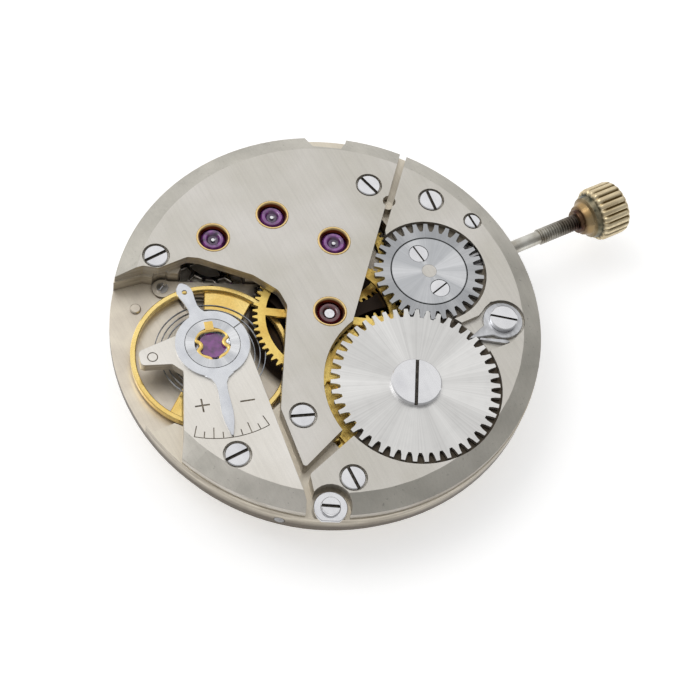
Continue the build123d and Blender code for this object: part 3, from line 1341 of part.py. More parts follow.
def hairspring():
    low = level(hairspring_share)
    return wound_strip(balance_at, hairspring_inner_r, hairspring_outer_r, hairspring_turns, hairspring_t,
                       low, low + hairspring_h, stud_deg)


def hairspring_stud():
    low = level(hairspring_share) - hairspring_h / 2
    return disc(stud_r, low, movement_h - stud_top_gap - pressed_gap, stud_at())


def blade(shares, reach, width, low, high):
    """Arm of the regulator along +X: at each share of its reach, half its width as a share of the width."""
    edge = [(along * reach, half * width) for along, half in shares]
    return slab(edge + [(x, -y) for x, y in reversed(edge)], low, high)


def regulator():
    """Index ring round the shock block, with the curb-pin arm and the long pointer."""
    low = movement_h + pressed_gap
    high = low + regulator_t
    outer = ring(regulator_r, shock_block_r + running_fit, low, high)
    tail = blade(regulator_tail_shares, regulator_tail_reach, regulator_tail_w, low, high)
    tail -= disc(regulator_hole_r, low - overrun, high + overrun, (regulator_hole_place, 0))
    pointer = blade(regulator_pointer_shares, regulator_pointer_reach, regulator_pointer_w, low, high)
    index = outer + Rot(0, 0, 90) * tail + Rot(0, 0, regulator_pointer_deg) * pointer
    curb_place = hairspring_outer_r + hairspring_t / 2 + curb_pin_gap + curb_pin_r
    index += Rot(0, 0, 90) * disc(curb_pin_r, level(hairspring_share), low, (curb_place, 0))
    half = regulator_split_w / 2
    split = block(shock_block_r - overrun, regulator_r + overrun, -half, half, low - overrun, high + overrun)
    return Pos(balance_at[0], balance_at[1], 0) * (index - Rot(0, 0, regulator_split_deg) * split)


def face_ring(x, length, outer, inner, count, phase):
    """Ring of face teeth on the stem's axis."""
    teeth = []
    for tooth in range(count):
        corners = []
        start = phase + (tooth - face_tooth_fill_share / 2) * 360 / count
        end = phase + (tooth + face_tooth_fill_share / 2) * 360 / count
        for radius, degrees in ((inner, start), (outer, start), (outer, end), (inner, end)):
            corners.append(polar(centre_at, radius, degrees))
        teeth.append(along_stem(slab(corners, 0, length), x))
    return teeth


def winding_pinion():
    """Bevel-meshing pinion under the crown wheel, with ratchet teeth on its inner face."""
    gap_step = 360 / crown_wheel_teeth
    gap_deg = (crown_wheel_phase + gap_step / 2) % gap_step
    gap_deg = gap_deg - gap_step if gap_deg > gap_step / 2 else gap_deg
    sideways = winding_module * crown_wheel_teeth / 2 * math.radians(gap_deg)
    phase = 180 - math.degrees(sideways / winding_pitch_r)
    root_r = winding_tip_r - winding_module * (winding_addendum_share + winding_dedendum_share) / 2
    teeth = toothed(winding_teeth, winding_tip_r, root_r, 0, pinion_teeth_l, centre_at, phase)
    piece = along_stem(teeth, pinion_teeth_x) + stem_disc(pinion_body_r, pinion_body_x, pinion_teeth_x)
    overlap = pressed_gap
    teeth_l = face_teeth_l + overlap
    for tooth in face_ring(pinion_face_x, teeth_l, pinion_body_r, stem_bearing_r, face_teeth, 0):
        piece += tooth
    return piece - stem_disc(pinion_bore_r, pinion_face_x - overrun, pinion_end_x + overrun)


def sliding_pinion():
    """Clutch: rides on the stem's square and slides between the winding and setting gears."""
    piece = stem_disc(clutch_r, clutch_body_x, clutch_body_end_x)
    groove = stem_disc(clutch_r + overrun, clutch_groove_x, clutch_groove_x + clutch_groove_l)
    piece -= groove - stem_disc(clutch_groove_r, clutch_x, clutch_end_x)
    overlap = pressed_gap
    offset = 180 / face_teeth
    teeth = face_ring(clutch_body_end_x - overlap, face_teeth_l + overlap, pinion_body_r, stem_bearing_r,
                      face_teeth, offset)
    teeth += face_ring(clutch_x, clutch_teeth_l + overlap, clutch_r, stem_bearing_r, clutch_teeth, 0)
    for tooth in teeth:
        piece += tooth
    half = stem_square / 2 + running_fit
    hole = block(clutch_x - overrun, clutch_end_x + overrun, -half, half, stem_z - half, stem_z + half)
    return piece - hole


def winding_stem():
    half = stem_square / 2
    stem = stem_disc(stem_pilot_r, stem_pilot_x, stem_square_x)
    stem += block(stem_square_x, stem_round_x, -half, half, stem_z - half, stem_z + half)
    stem += stem_disc(stem_round_r, stem_round_x, stem_bearing_x)
    stem += stem_disc(stem_bearing_r, stem_bearing_x, stem_groove_x)
    stem += stem_disc(stem_groove_r, stem_groove_x, stem_groove_x + stem_groove_l)
    stem += stem_disc(stem_bearing_r, stem_groove_x + stem_groove_l, stem_neck_x)
    stem += stem_disc(stem_round_r, stem_neck_x, stem_thread_x)
    return stem + stem_disc(stem_thread_r, stem_thread_x, stem_end_x)


def crown():
    """Fluted winding crown with its tapered collar."""
    fluted = toothed(crown_flutes, crown_r, crown_r - crown_flute_d, 0, crown_l, centre_at, 0)
    profile = [(0, 0), (crown_r - crown_edge / 2, 0), (crown_r, crown_edge), (crown_r, crown_l - crown_edge),
               (crown_r - crown_edge, crown_l), (0, crown_l)]
    envelope = revolve(Plane.XZ * Polygon(*profile), Axis.Z)
    collar = cone(crown_collar_tip_r, crown_collar_r, 0, crown_collar_l)
    piece = along_stem(fluted & envelope, crown_face_x) + along_stem(collar, crown_collar_x)
    return piece - stem_disc(stem_thread_r + pressed_gap, crown_collar_x - overrun, stem_end_x)


# Keyless works in the dial side of the plate
keyless_low = level(keyless_share)
keyless_high = keyless_low + keyless_t


def setting_lever():
    """Lever whose pin sits in the stem's groove."""
    lever = rounded_slab(setting_lever_shares, keyless_low, keyless_high)
    lever += disc(lever_pin_r + channel_gap, keyless_low, keyless_high, lever_pin_at)
    lever += disc(lever_pin_r, keyless_low, stem_z - stem_groove_r - lever_pin_top_gap, lever_pin_at)
    hole = disc(lever_screw_r / 2 + pressed_gap, keyless_low - overrun, keyless_high + overrun, lever_screw_at)
    return lever - hole


def setting_lever_screw():
    head_low = movement_h - screw_head_t
    return screw(lever_screw_at, lever_screw_r, head_low, movement_h, lever_screw_r / 2, keyless_low,
                 lever_screw_slot_deg)


def yoke():
    """Yoke whose finger rides in the sliding pinion's groove."""
    lever = rounded_slab(yoke_shares, keyless_low, keyless_high)
    lever += disc(yoke_hub_r, keyless_low, keyless_high, yoke_at)
    half_w, half_l = yoke_finger_w / 2, yoke_finger_l / 2
    finger_top = stem_z - clutch_groove_r - yoke_finger_gap
    lever += block(yoke_finger_x - half_w, yoke_finger_x + half_w, -half_l, half_l, keyless_low, finger_top)
    return lever - disc(yoke_post_r + running_fit, keyless_low - overrun, keyless_high + overrun, yoke_at)


def yoke_spring():
    strip = rounded_slab(yoke_spring_strip_shares, keyless_low, keyless_high)
    hub = disc(yoke_spring_hub_r, keyless_low, keyless_high, yoke_spring_at)
    post_high = keyless_floor + yoke_spring_post_l
    return strip + hub + disc(yoke_spring_post_r, keyless_high, post_high, yoke_spring_at)


def setting_lever_jumper():
    low = jumper_recess - jumper_t
    jumper = rounded_slab(jumper_shares, low, jumper_recess)
    high = jumper_recess + overrun
    return jumper - disc(small_screw_shank_r + running_fit, low - overrun, high, jumper_screw_at)


def setting_wheel():
    low, high = level(setting_wheel_shares[0]), level(setting_wheel_shares[1])
    line = heading(minute_at, setting_wheel_at)
    phase = meshed_phase(line, minute_wheel_teeth, heading(centre_at, minute_at), setting_wheel_teeth)
    root_r = root_radius(setting_module, setting_wheel_teeth)
    wheel = toothed(setting_wheel_teeth, setting_tip_r, root_r, low, high, setting_wheel_at, phase)
    return wheel - disc(setting_post_r + running_fit, low - overrun, high + overrun, setting_wheel_at)


def minute_wheel():
    """Minute wheel with the pinion that drives the hour wheel."""
    low = level(minute_wheel_share)
    high = low + motion_wheel_t
    wheel_phase = heading(centre_at, minute_at)
    root_r = root_radius(cannon_module, minute_wheel_teeth)
    wheel = toothed(minute_wheel_teeth, minute_tip_r, root_r, low, high, minute_at, wheel_phase)
    pinion_low = low - minute_pinion_t
    wheel += toothed(minute_pinion_teeth, tip_radius(hour_module, minute_pinion_teeth),
                     root_radius(hour_module, minute_pinion_teeth), pinion_low, low, minute_at, wheel_phase)
    return wheel - disc(minute_post_r + running_fit, pinion_low - overrun, high + overrun, minute_at)


def motion_phase(driver_count, count):
    """Phase of a central wheel that meshes with the minute wheel or its pinion."""
    return meshed_phase(heading(minute_at, centre_at), driver_count, heading(centre_at, minute_at), count)


def cannon_pinion():
    """Pinion with the long pipe that carries the minute hand."""
    low, high = level(cannon_teeth_shares[0]), level(cannon_teeth_shares[1])
    phase = motion_phase(minute_wheel_teeth, cannon_teeth)
    piece = toothed(cannon_teeth, tip_radius(cannon_module, cannon_teeth),
                    root_radius(cannon_module, cannon_teeth), low, high, centre_at, phase)
    piece += true_disc(minute_seat_r, -cannon_reach, high, centre_at)
    piece += disc(cannon_pipe_r, minute_seat_l - cannon_reach, high, centre_at)
    return piece - disc(centre_arbor_r + pressed_gap, -cannon_reach - overrun, high + overrun, centre_at)


def hour_wheel():
    """Hour wheel on its pipe, turning round the cannon pinion."""
    low = level(hour_wheel_share)
    high = low + hour_wheel_t
    phase = motion_phase(minute_pinion_teeth, hour_wheel_teeth)
    root_r = root_radius(hour_module, hour_wheel_teeth)
    wheel = toothed(hour_wheel_teeth, hour_tip_r, root_r, low, high, centre_at, phase)
    wheel += true_disc(hour_pipe_r, -hour_reach, high, centre_at)
    return wheel - disc(cannon_pipe_r + running_fit, -hour_reach - overrun, high + overrun, centre_at)


nodes = [
    main_plate, train_bridge, barrel_bridge, balance_cock, pallet_bridge, bridge_screws, small_screws,
    case_screw, dial_foot_screws, steady_pins, chatons, upper_jewels, lower_jewels, shock_blocks, shock_jewels,
    shock_springs, crown_wheel_core, crown_wheel_screws, crown_wheel, ratchet_wheel, ratchet_screw,
    barrel_arbor, barrel_drum, barrel_lid, mainspring, click, click_screw, click_spring, setting_lever_screw,
    setting_lever, yoke, yoke_spring, setting_lever_jumper, centre_wheel, centre_pinion, third_wheel,
    third_pinion, fourth_wheel, fourth_pinion, escape_wheel, escape_pinion, pallet_fork, pallet_stones,
    pallet_staff, balance_wheel, balance_staff, roller, impulse_jewel, hairspring, hairspring_stud, regulator,
    winding_pinion, sliding_pinion, winding_stem, crown, setting_wheel, minute_wheel, cannon_pinion,
    hour_wheel]

os.makedirs("parts", exist_ok=True)
for node in nodes:
    shape = node()
    if isinstance(shape, list):
        shape = Compound(children=shape)
    export_step(shape, f"parts/{node.__name__}.step")
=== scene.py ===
import json
import math

import bmesh
import bpy
from mathutils import Matrix, Vector

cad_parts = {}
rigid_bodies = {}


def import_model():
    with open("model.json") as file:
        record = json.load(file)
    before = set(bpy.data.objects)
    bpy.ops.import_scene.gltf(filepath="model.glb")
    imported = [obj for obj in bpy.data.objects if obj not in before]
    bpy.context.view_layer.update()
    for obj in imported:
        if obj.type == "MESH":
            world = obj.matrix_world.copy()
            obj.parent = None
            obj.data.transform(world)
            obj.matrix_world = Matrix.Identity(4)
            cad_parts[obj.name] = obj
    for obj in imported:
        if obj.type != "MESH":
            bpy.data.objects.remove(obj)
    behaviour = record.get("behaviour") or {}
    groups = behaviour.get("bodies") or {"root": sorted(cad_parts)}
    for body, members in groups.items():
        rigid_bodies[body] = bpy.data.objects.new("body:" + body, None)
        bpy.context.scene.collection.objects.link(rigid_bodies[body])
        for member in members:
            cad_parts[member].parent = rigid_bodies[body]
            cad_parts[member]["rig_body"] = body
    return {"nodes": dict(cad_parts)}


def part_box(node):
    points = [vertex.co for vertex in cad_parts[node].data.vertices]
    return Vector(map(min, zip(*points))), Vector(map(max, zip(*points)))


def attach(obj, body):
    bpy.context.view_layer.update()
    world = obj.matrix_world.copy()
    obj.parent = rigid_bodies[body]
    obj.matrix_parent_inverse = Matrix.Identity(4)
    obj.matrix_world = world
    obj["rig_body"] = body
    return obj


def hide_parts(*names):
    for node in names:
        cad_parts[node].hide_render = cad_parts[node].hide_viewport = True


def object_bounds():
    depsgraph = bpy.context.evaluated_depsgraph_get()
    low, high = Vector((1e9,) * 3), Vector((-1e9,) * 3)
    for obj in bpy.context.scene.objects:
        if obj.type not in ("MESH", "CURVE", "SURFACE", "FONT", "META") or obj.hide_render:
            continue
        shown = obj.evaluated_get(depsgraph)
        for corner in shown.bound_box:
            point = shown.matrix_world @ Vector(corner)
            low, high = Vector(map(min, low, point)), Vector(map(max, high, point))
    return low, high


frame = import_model()
cad_low, cad_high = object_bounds()


# Main plate. A nickel-plated brass disc, turned and milled, with wells sunk in it for the barrel, the
# wheels and the balance. Beside the balance a ledge is cut in its wall, with a small pin pressed in.
# Everything else stands on it or is screwed into it.
mm_per_m = 1000


def seen(red, green, blue):
    """A colour as it looks on a screen, from 0 to 255, in the linear values that a shader takes."""
    return tuple((part / 255) ** 2.2 for part in (red, green, blue)) + (1,)


def new_metal(name, roughness, metallic=1.0):
    """A new material, with its shader and the Object coordinates that its patterns are laid on."""
    material = bpy.data.materials.new(name)
    material.use_nodes = True
    tree = material.node_tree
    shader = tree.nodes["Principled BSDF"]
    shader.inputs["Metallic"].default_value = metallic
    shader.inputs["Roughness"].default_value = roughness
    return material, tree, shader, tree.nodes.new("ShaderNodeTexCoord").outputs["Object"]


def cloud(tree, where, scale, detail=4, stretch=(1, 1, 1)):
    """Uneven pattern with the given number of blotches to the metre, drawn out where it is stretched."""
    mapping = tree.nodes.new("ShaderNodeMapping")
    mapping.inputs["Scale"].default_value = stretch
    tree.links.new(where, mapping.inputs["Vector"])
    noise = tree.nodes.new("ShaderNodeTexNoise")
    noise.inputs["Scale"].default_value = scale
    noise.inputs["Detail"].default_value = detail
    tree.links.new(mapping.outputs["Vector"], noise.inputs["Vector"])
    return noise.outputs["Fac"]


def graded(tree, pattern, low, high, low_at=0.35, high_at=0.65):
    """Colour or grey that goes from low to high as the pattern rises between two levels."""
    ramp = tree.nodes.new("ShaderNodeValToRGB")
    for stop, (value, at) in zip(ramp.color_ramp.elements, ((low, low_at), (high, high_at))):
        stop.color = value if isinstance(value, tuple) else (value, value, value, 1)
        stop.position = at
    tree.links.new(pattern, ramp.inputs["Fac"])
    return ramp.outputs["Color"]


def mixed(tree, how, share, first, second):
    """Two colours put together, the second one in the given share."""
    mix = tree.nodes.new("ShaderNodeMix")
    mix.data_type, mix.blend_type = "RGBA", how
    for socket, value in ((mix.inputs["Factor"], share), (mix.inputs["A"], first), (mix.inputs["B"], second)):
        if isinstance(value, bpy.types.NodeSocket):
            tree.links.new(value, socket)
        else:
            socket.default_value = value
    return mix.outputs["Result"]


def rough_skin(tree, shader, pattern, height, share):
    """Raises and sinks the surface with a pattern, by a share of a height in millimetres."""
    bump = tree.nodes.new("ShaderNodeBump")
    bump.inputs["Strength"].default_value = share
    bump.inputs["Distance"].default_value = height / mm_per_m
    tree.links.new(pattern, bump.inputs["Height"])
    tree.links.new(bump.outputs["Normal"], shader.inputs["Normal"])


def facing_up(tree, kind):
    """How far the surface looks up: one where it is level, nothing on a wall, less than that underneath."""
    split = tree.nodes.new("ShaderNodeSeparateXYZ")
    tree.links.new(tree.nodes.new("ShaderNodeNewGeometry").outputs[kind], split.inputs["Vector"])
    return split.outputs["Z"]


def level_share(tree):
    """One on faces that look up or down, nothing on walls."""
    size = tree.nodes.new("ShaderNodeMath")
    size.operation = "ABSOLUTE"
    tree.links.new(facing_up(tree, "Normal"), size.inputs[0])
    return graded(tree, size.outputs["Value"], 0.0, 1.0, 0.35, 0.8)


def slope_share(tree):
    """One on faces that slope by 26 degrees or more, nothing on those that slope by less than 10."""
    return graded(tree, facing_up(tree, "True Normal"), 1.0, 0.0, 0.9, 0.985)


def between(tree, distance, low, high):
    """Nothing at one distance and one at another, both in millimetres."""
    span = tree.nodes.new("ShaderNodeMapRange")
    span.inputs["From Min"].default_value = low / mm_per_m
    span.inputs["From Max"].default_value = high / mm_per_m
    tree.links.new(distance, span.inputs["Value"])
    return span.outputs["Result"]


def along_share(tree, where, axis, low, high):
    """Nothing at one place along an axis and one at another, both in millimetres."""
    split = tree.nodes.new("ShaderNodeSeparateXYZ")
    tree.links.new(where, split.inputs["Vector"])
    return between(tree, split.outputs[axis], low, high)


def away_share(tree, where, centre, across, low, high):
    """Nothing at one distance from an axis and one at another, both in millimetres."""
    moved = tree.nodes.new("ShaderNodeMapping")
    moved.inputs["Location"].default_value = [-place * keep / mm_per_m for place, keep in zip(centre, across)]
    moved.inputs["Scale"].default_value = across
    tree.links.new(where, moved.inputs["Vector"])
    away = tree.nodes.new("ShaderNodeVectorMath")
    away.operation = "LENGTH"
    tree.links.new(moved.outputs["Vector"], away.inputs[0])
    return between(tree, away.outputs["Value"], low, high)


def nickel(name, bright, dull, rim_shade, wall_shade, well_floor_shade, floor_z):
    """Satin nickel plate: fine grain and brushing, hardly any smudges. The sloped rim is greyer with painted
    shade and has small dark specks, and walls and wells are browner with painted shade and streaked."""
    material, tree, shader, where = new_metal(name, 0.4, 0.84)
    top = graded(tree, cloud(tree, where, 240, 3), dull, bright, 0.3, 0.7)
    specks = graded(tree, cloud(tree, where, 5200, 3), 0.5, 1.0, 0.27, 0.35)
    # The sloped rim takes a greyer painted shade, in patches, under real dark specks.
    patches = graded(tree, cloud(tree, where, 330, 3), rim_shade, dull, 0.3, 0.72)
    top = mixed(tree, "MIX", slope_share(tree), top, mixed(tree, "MULTIPLY", 0.7, patches, specks))
    # Below floor_z the wells take a browner painted shade.
    wells = graded(tree, cloud(tree, where, 620, 5), well_floor_shade, bright, 0.3, 0.75)
    tone = mixed(tree, "MIX", along_share(tree, where, "Z", floor_z - 0.15, floor_z), wells, top)
    # Walls take a browner painted shade, streaked, and a darker painted shade below the flange.
    under_flange_z, flange_z, under_flange_shade = 1.5, 2.1, seen(104, 95, 84)
    streaks = graded(tree, cloud(tree, where, 420, 4, (1, 1, 9)), wall_shade, bright, 0.2, 0.85)
    above = along_share(tree, where, "Z", under_flange_z, flange_z)
    walls = mixed(tree, "MIX", above, under_flange_shade, streaks)
    tone = mixed(tree, "MIX", level_share(tree), walls, tone)
    grain = cloud(tree, where, 26000, 2)
    tone = mixed(tree, "MULTIPLY", 0.5, tone, graded(tree, grain, 0.86, 1.0, 0.3, 0.66))
    brushing = cloud(tree, where, 9000, 3, (1, 0.03, 1))
    tone = mixed(tree, "MULTIPLY", 0.5, tone, graded(tree, brushing, 0.9, 1.0, 0.3, 0.6))
    tree.links.new(tone, shader.inputs["Base Color"])
    tree.links.new(graded(tree, brushing, 0.44, 0.36, 0.3, 0.7), shader.inputs["Roughness"])
    rough_skin(tree, shader, grain, 0.0018, 0.7)
    return material


def coat_of(metal):
    """A metal's node tree, its shader, its Object coordinates and the colour that it has so far."""
    tree = metal.node_tree
    shader = tree.nodes["Principled BSDF"]
    where = next(node for node in tree.nodes if node.type == "TEX_COORD").outputs["Object"]
    return tree, shader, where, shader.inputs["Base Color"].links[0].from_socket


def shaded_round(metal, centre, unshaded_r, dark_r, tone, level_z=None):
    """Paints shade on a metal from one distance from an upright axis to another, everywhere or only below a
    level.
    """
    tree, shader, where, unshaded = coat_of(metal)
    dark = away_share(tree, where, (*centre, 0), (1, 1, 0), unshaded_r, dark_r)
    if level_z:
        above = along_share(tree, where, "Z", level_z - 0.02, level_z)
        dark = mixed(tree, "MIX", above, dark, seen(0, 0, 0))
    tree.links.new(mixed(tree, "MIX", dark, unshaded, tone), shader.inputs["Base Color"])


def in_mm(name, shape):
    """An object for a shape that is drawn in millimetres. Its size is made right when it is finished."""
    mesh = bpy.data.meshes.new(name)
    shape.to_mesh(mesh)
    shape.free()
    made = bpy.data.objects.new(name, mesh)
    bpy.context.scene.collection.objects.link(made)
    return made


def baked(piece):
    """Makes a piece's modifiers part of its mesh."""
    bpy.context.view_layer.update()
    done = piece.evaluated_get(bpy.context.evaluated_depsgraph_get())
    mesh = bpy.data.meshes.new_from_object(done)
    piece.modifiers.clear()
    piece.data = mesh


def finished(piece, material, node, smooth_deg=35):
    """Gives a piece its true size and its metal, shades its level faces flat, and sets it in a CAD node's
    place."""
    baked(piece)
    piece.data.transform(Matrix.Scale(1 / mm_per_m, 4))
    piece.data.set_sharp_from_angle(angle=math.radians(smooth_deg))
    nearly_level = 0.99995
    for face in piece.data.polygons:
        face.use_smooth = abs(face.normal.z) < nearly_level
    if not piece.data.materials:
        piece.data.materials.append(material)
    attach(piece, frame["nodes"][node]["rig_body"])
    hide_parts(node)


def dressed(name, node, edge):
    """A CAD node's merged copy in millimetres, its sharp edges broken by a flat of the given width."""
    shape = bmesh.new()
    shape.from_mesh(frame["nodes"][node].data)
    bmesh.ops.scale(shape, vec=(mm_per_m, mm_per_m, mm_per_m), verts=shape.verts)
    bmesh.ops.remove_doubles(shape, verts=shape.verts, dist=0.0005)
    bmesh.ops.dissolve_limit(shape, angle_limit=math.radians(1), verts=shape.verts, edges=shape.edges)
    piece = in_mm(name, shape)
    piece.data.materials.clear()
    if edge:
        flat = piece.modifiers.new("edge", "BEVEL")
        flat.width, flat.segments, flat.limit_method = edge, 1, "ANGLE"
        flat.angle_limit = math.radians(50)
    return piece


def metal_on(material, *nodes):
    """Gives carried-over CAD nodes their metal."""
    for node in nodes:
        for place in frame["nodes"][node].material_slots:
            place.link = "OBJECT"
            place.material = material


def turned(name, profile, centre, steps, along="Z"):
    """A lathe piece in millimetres: distances from the axis and stations along it, spun once round."""
    shape = bmesh.new()
    axis = Vector((0, 0, 1)) if along == "Z" else Vector((1, 0, 0))
    out = Vector((1, 0, 0)) if along == "Z" else Vector((0, 1, 0))
    points = [shape.verts.new(Vector(centre) + out * radius + axis * station) for radius, station in profile]
    edges = [shape.edges.new((first, second)) for first, second in zip(points, points[1:])]
    if profile[0][0] > 0 or profile[-1][0] > 0:
        edges.append(shape.edges.new((points[-1], points[0])))
    bmesh.ops.spin(shape, geom=points + edges, cent=centre, axis=axis, angle=2 * math.pi, steps=steps,
                   use_merge=True)
    bmesh.ops.remove_doubles(shape, verts=shape.verts, dist=0.0002)
    bmesh.ops.recalc_face_normals(shape, faces=shape.faces)
    return in_mm(name, shape)


def joined(first, *others):
    """Puts more shapes in the first one's mesh."""
    shape = bmesh.new()
    for piece in (first, *others):
        baked(piece)
        shape.from_mesh(piece.data)
    shape.to_mesh(first.data)
    shape.free()
    for piece in others:
        bpy.data.objects.remove(piece)
    return first


def cut_out(piece, cutter):
    """Cuts a piece with another one, which is then gone. The cut keeps the cutter's material."""
    cut = piece.modifiers.new("cut", "BOOLEAN")
    cut.operation, cut.solver, cut.material_mode, cut.object = "DIFFERENCE", "EXACT", "TRANSFER", cutter
    baked(piece)
    bpy.data.objects.remove(cutter)
    return piece


def prism(name, corners, low, high):
    """A straight-walled cutter in millimetres over a flat outline, between two levels."""
    shape = bmesh.new()
    outline = shape.faces.new([shape.verts.new((x, y, low)) for x, y in corners])
    raised = bmesh.ops.extrude_face_region(shape, geom=[outline])["geom"]
    bmesh.ops.translate(shape, vec=(0, 0, high - low),
                        verts=[part for part in raised if isinstance(part, bmesh.types.BMVert)])
    bmesh.ops.recalc_face_normals(shape, faces=shape.faces)
    return in_mm(name, shape)


plate_nickel = nickel("plate_nickel", bright=seen(228, 219, 202), dull=seen(208, 199, 183),
                      rim_shade=seen(172, 168, 156), wall_shade=seen(150, 140, 124), well_floor_shade=seen(204, 194, 180),
                      floor_z=2.45)
# Painted shade in the plate's well round the centre wheel.
shaded_round(plate_nickel, (0, 0), unshaded_r=5.2, dark_r=4.6, tone=seen(44, 36, 30), level_z=2.52)
ledge_outline = [(-10.45, 7.42), (-8.68, 7.17), (-8.05, 6.75), (-9.0, 4.5), (-11.0, 1.0), (-11.9, -0.2),
                 (-12.7, -0.62), (-13.4, -0.62), (-13.4, 7.42)]
ledge_z, over_plate_z = 1.7212, 3.3
plate = dressed("plate_dressed", "main_plate", edge=0.03)
baked(plate)
ledge = prism("ledge", ledge_outline, ledge_z, over_plate_z)
for piece in (plate, ledge):
    piece.data.materials.append(plate_nickel)
cut_out(plate, ledge)
pin_profile = [(0, 1.6), (0.33, 1.6), (0.33, 1.8), (0.27, 1.86), (0, 1.86)]
pin = turned("ledge_pin", pin_profile, (-9.79, 5.72, 0), steps=32)
finished(joined(plate, pin), plate_nickel, "main_plate", smooth_deg=10)


# Lower jewels. Synthetic rubies, drilled and pressed into the plate under the pivots of the train. They
# are hidden, so the CAD solids carry the finish.
def ruby(name, deep, pale, sunk_z=0.0, raised_z=0.0):
    """Polished synthetic ruby under a hard gloss: purple-red with a paler bloom, and between two heights a
    painted shade, darker towards the bottom of its cup."""
    material, tree, shader, where = new_metal(name, 0.07, 0.0)
    bloom = graded(tree, cloud(tree, where, 2600, 3), deep, pale, 0.3, 0.75)
    if raised_z:
        # Painted shade, darker towards the bottom of the cup.
        bloom = mixed(tree, "MIX", along_share(tree, where, "Z", sunk_z, raised_z), deep, bloom)
    tree.links.new(bloom, shader.inputs["Base Color"])
    shader.inputs["IOR"].default_value = 1.76
    shader.inputs["Coat Weight"].default_value = 0.6
    shader.inputs["Coat Roughness"].default_value = 0.03
    return material


purple_ruby = ruby("purple_ruby", seen(84, 24, 90), seen(142, 64, 150))
metal_on(purple_ruby, "lower_jewels")


# Keyless works, hand drive, pins and hidden screws. Hardened and ground steel, let into the dial side of
# the plate. They set the hands or wind the spring as the crown is pulled or pushed.
def ground_steel(name, bright, dull, roughness, stretch=(1, 0.06, 1), scale=7000, line_tone=0.8):
    """Steel with straight grinding lines, a little darker where oil has dried. The paler its lines, the
    smoother it is."""
    material, tree, shader, where = new_metal(name, roughness)
    lines = cloud(tree, where, scale, 3, stretch)
    tone = graded(tree, cloud(tree, where, 900, 5), dull, bright, 0.32, 0.6)
    tone = mixed(tree, "MULTIPLY", 0.6, tone, graded(tree, lines, line_tone, 1.0, 0.3, 0.62))
    tree.links.new(tone, shader.inputs["Base Color"])
    tree.links.new(graded(tree, lines, roughness + 0.6 * (1 - line_tone), roughness - 0.04),
                   shader.inputs["Roughness"])
    rough_skin(tree, shader, lines, 0.006 * (1 - line_tone), 0.5)
    return material


tool_steel = ground_steel("tool_steel", seen(182, 182, 184), seen(120, 118, 116), 0.32)
polished_steel = ground_steel("polished_steel", seen(236, 236, 238), seen(205, 205, 208), 0.14,
                              stretch=(1, 1, 0.2), scale=5000)
metal_on(tool_steel, "setting_lever", "yoke", "yoke_spring", "setting_lever_jumper", "winding_pinion",
         "sliding_pinion", "setting_wheel", "hour_wheel", "minute_wheel", "cannon_pinion", "dial_foot_screws")
metal_on(polished_steel, "steady_pins", "small_screws")


# Barrel. A gilded brass drum with teeth round its rim, closed by a lid, that turns on a steel arbor.
# The mainspring inside it drives the whole train.
def gilt(name, bright, dull, roughness, grain=9000):
    """Gilded brass: warm yellow with faint browner patches and the lines of turning."""
    material, tree, shader, where = new_metal(name, roughness, 0.8)
    tone = graded(tree, cloud(tree, where, 380, 4), dull, bright, 0.28, 0.55)
    lines = cloud(tree, where, grain, 3, (1, 1, 0.1))
    tone = mixed(tree, "MULTIPLY", 0.5, tone, graded(tree, lines, 0.8, 1.0, 0.3, 0.6))
    tree.links.new(tone, shader.inputs["Base Color"])
    tree.links.new(graded(tree, lines, roughness + 0.1, roughness - 0.05), shader.inputs["Roughness"])
    rough_skin(tree, shader, lines, 0.001, 0.2)
    return material


train_gilt = gilt("train_gilt", seen(246, 214, 122), seen(222, 180, 92), 0.32)
spring_steel = ground_steel("spring_steel", seen(150, 154, 160), seen(96, 98, 102), 0.25)
finished(dressed("barrel_drum_dressed", "barrel_drum", edge=0), train_gilt, "barrel_drum")
metal_on(train_gilt, "barrel_lid")
metal_on(spring_steel, "mainspring")
metal_on(tool_steel, "barrel_arbor")


# Going train and pallets. Gilded brass wheels riveted to steel pinions: centre, third and fourth wheel, with
# a steel escape wheel and a steel pallet fork with ruby stones, under its own small bridge.
finished(dressed("centre_wheel_dressed", "centre_wheel", edge=0), train_gilt, "centre_wheel")
metal_on(train_gilt, "third_wheel", "fourth_wheel")
metal_on(polished_steel, "escape_wheel", "centre_pinion", "third_pinion", "fourth_pinion", "escape_pinion",
         "pallet_fork", "pallet_staff")
metal_on(purple_ruby, "pallet_stones")
metal_on(plate_nickel, "pallet_bridge")


# Balance. A plain gilded ring, turned bright, on two broad arms that are stamped with it and riveted to
# the staff. The hairspring is a flat blued-grey steel spiral, pinned to the collet and to the stud.
balance_gilt = gilt("balance_gilt", seen(255, 226, 146), seen(238, 198, 110), 0.15)
balance_at = (-7.25, 0.85)
finished(dressed("balance_wheel_dressed", "balance_wheel", edge=0.05), balance_gilt, "balance_wheel")
metal_on(spring_steel, "hairspring")
metal_on(polished_steel, "balance_staff", "roller", "hairspring_stud")
metal_on(purple_ruby, "impulse_jewel")


# Bridges. Three nickel-plated brass bridges, milled from one ring, frosted on top and sloped at the rim.
# The balance cock carries the engraved scale of the regulator, with plus and minus marks.
def bar(name, centre, length, width, low, high, turn_deg):
    """A straight cutter in millimetres, lying at a level."""
    shape = bmesh.new()
    bmesh.ops.create_cube(shape, size=1)
    bmesh.ops.scale(shape, vec=(length, width, high - low), verts=shape.verts)
    bmesh.ops.rotate(shape, cent=(0, 0, 0), matrix=Matrix.Rotation(math.radians(turn_deg), 3, "Z"),
                     verts=shape.verts)
    bmesh.ops.translate(shape, vec=(*centre, (low + high) / 2), verts=shape.verts)
    return in_mm(name, shape)


def groove(name, dark, pale):
    """Dull, uneven, dark bottom of a cut; in the screw slots this dark is painted shade."""
    material, tree, shader, where = new_metal(name, 0.55, 0.4)
    tree.links.new(graded(tree, cloud(tree, where, 6000), dark, pale), shader.inputs["Base Color"])
    return material
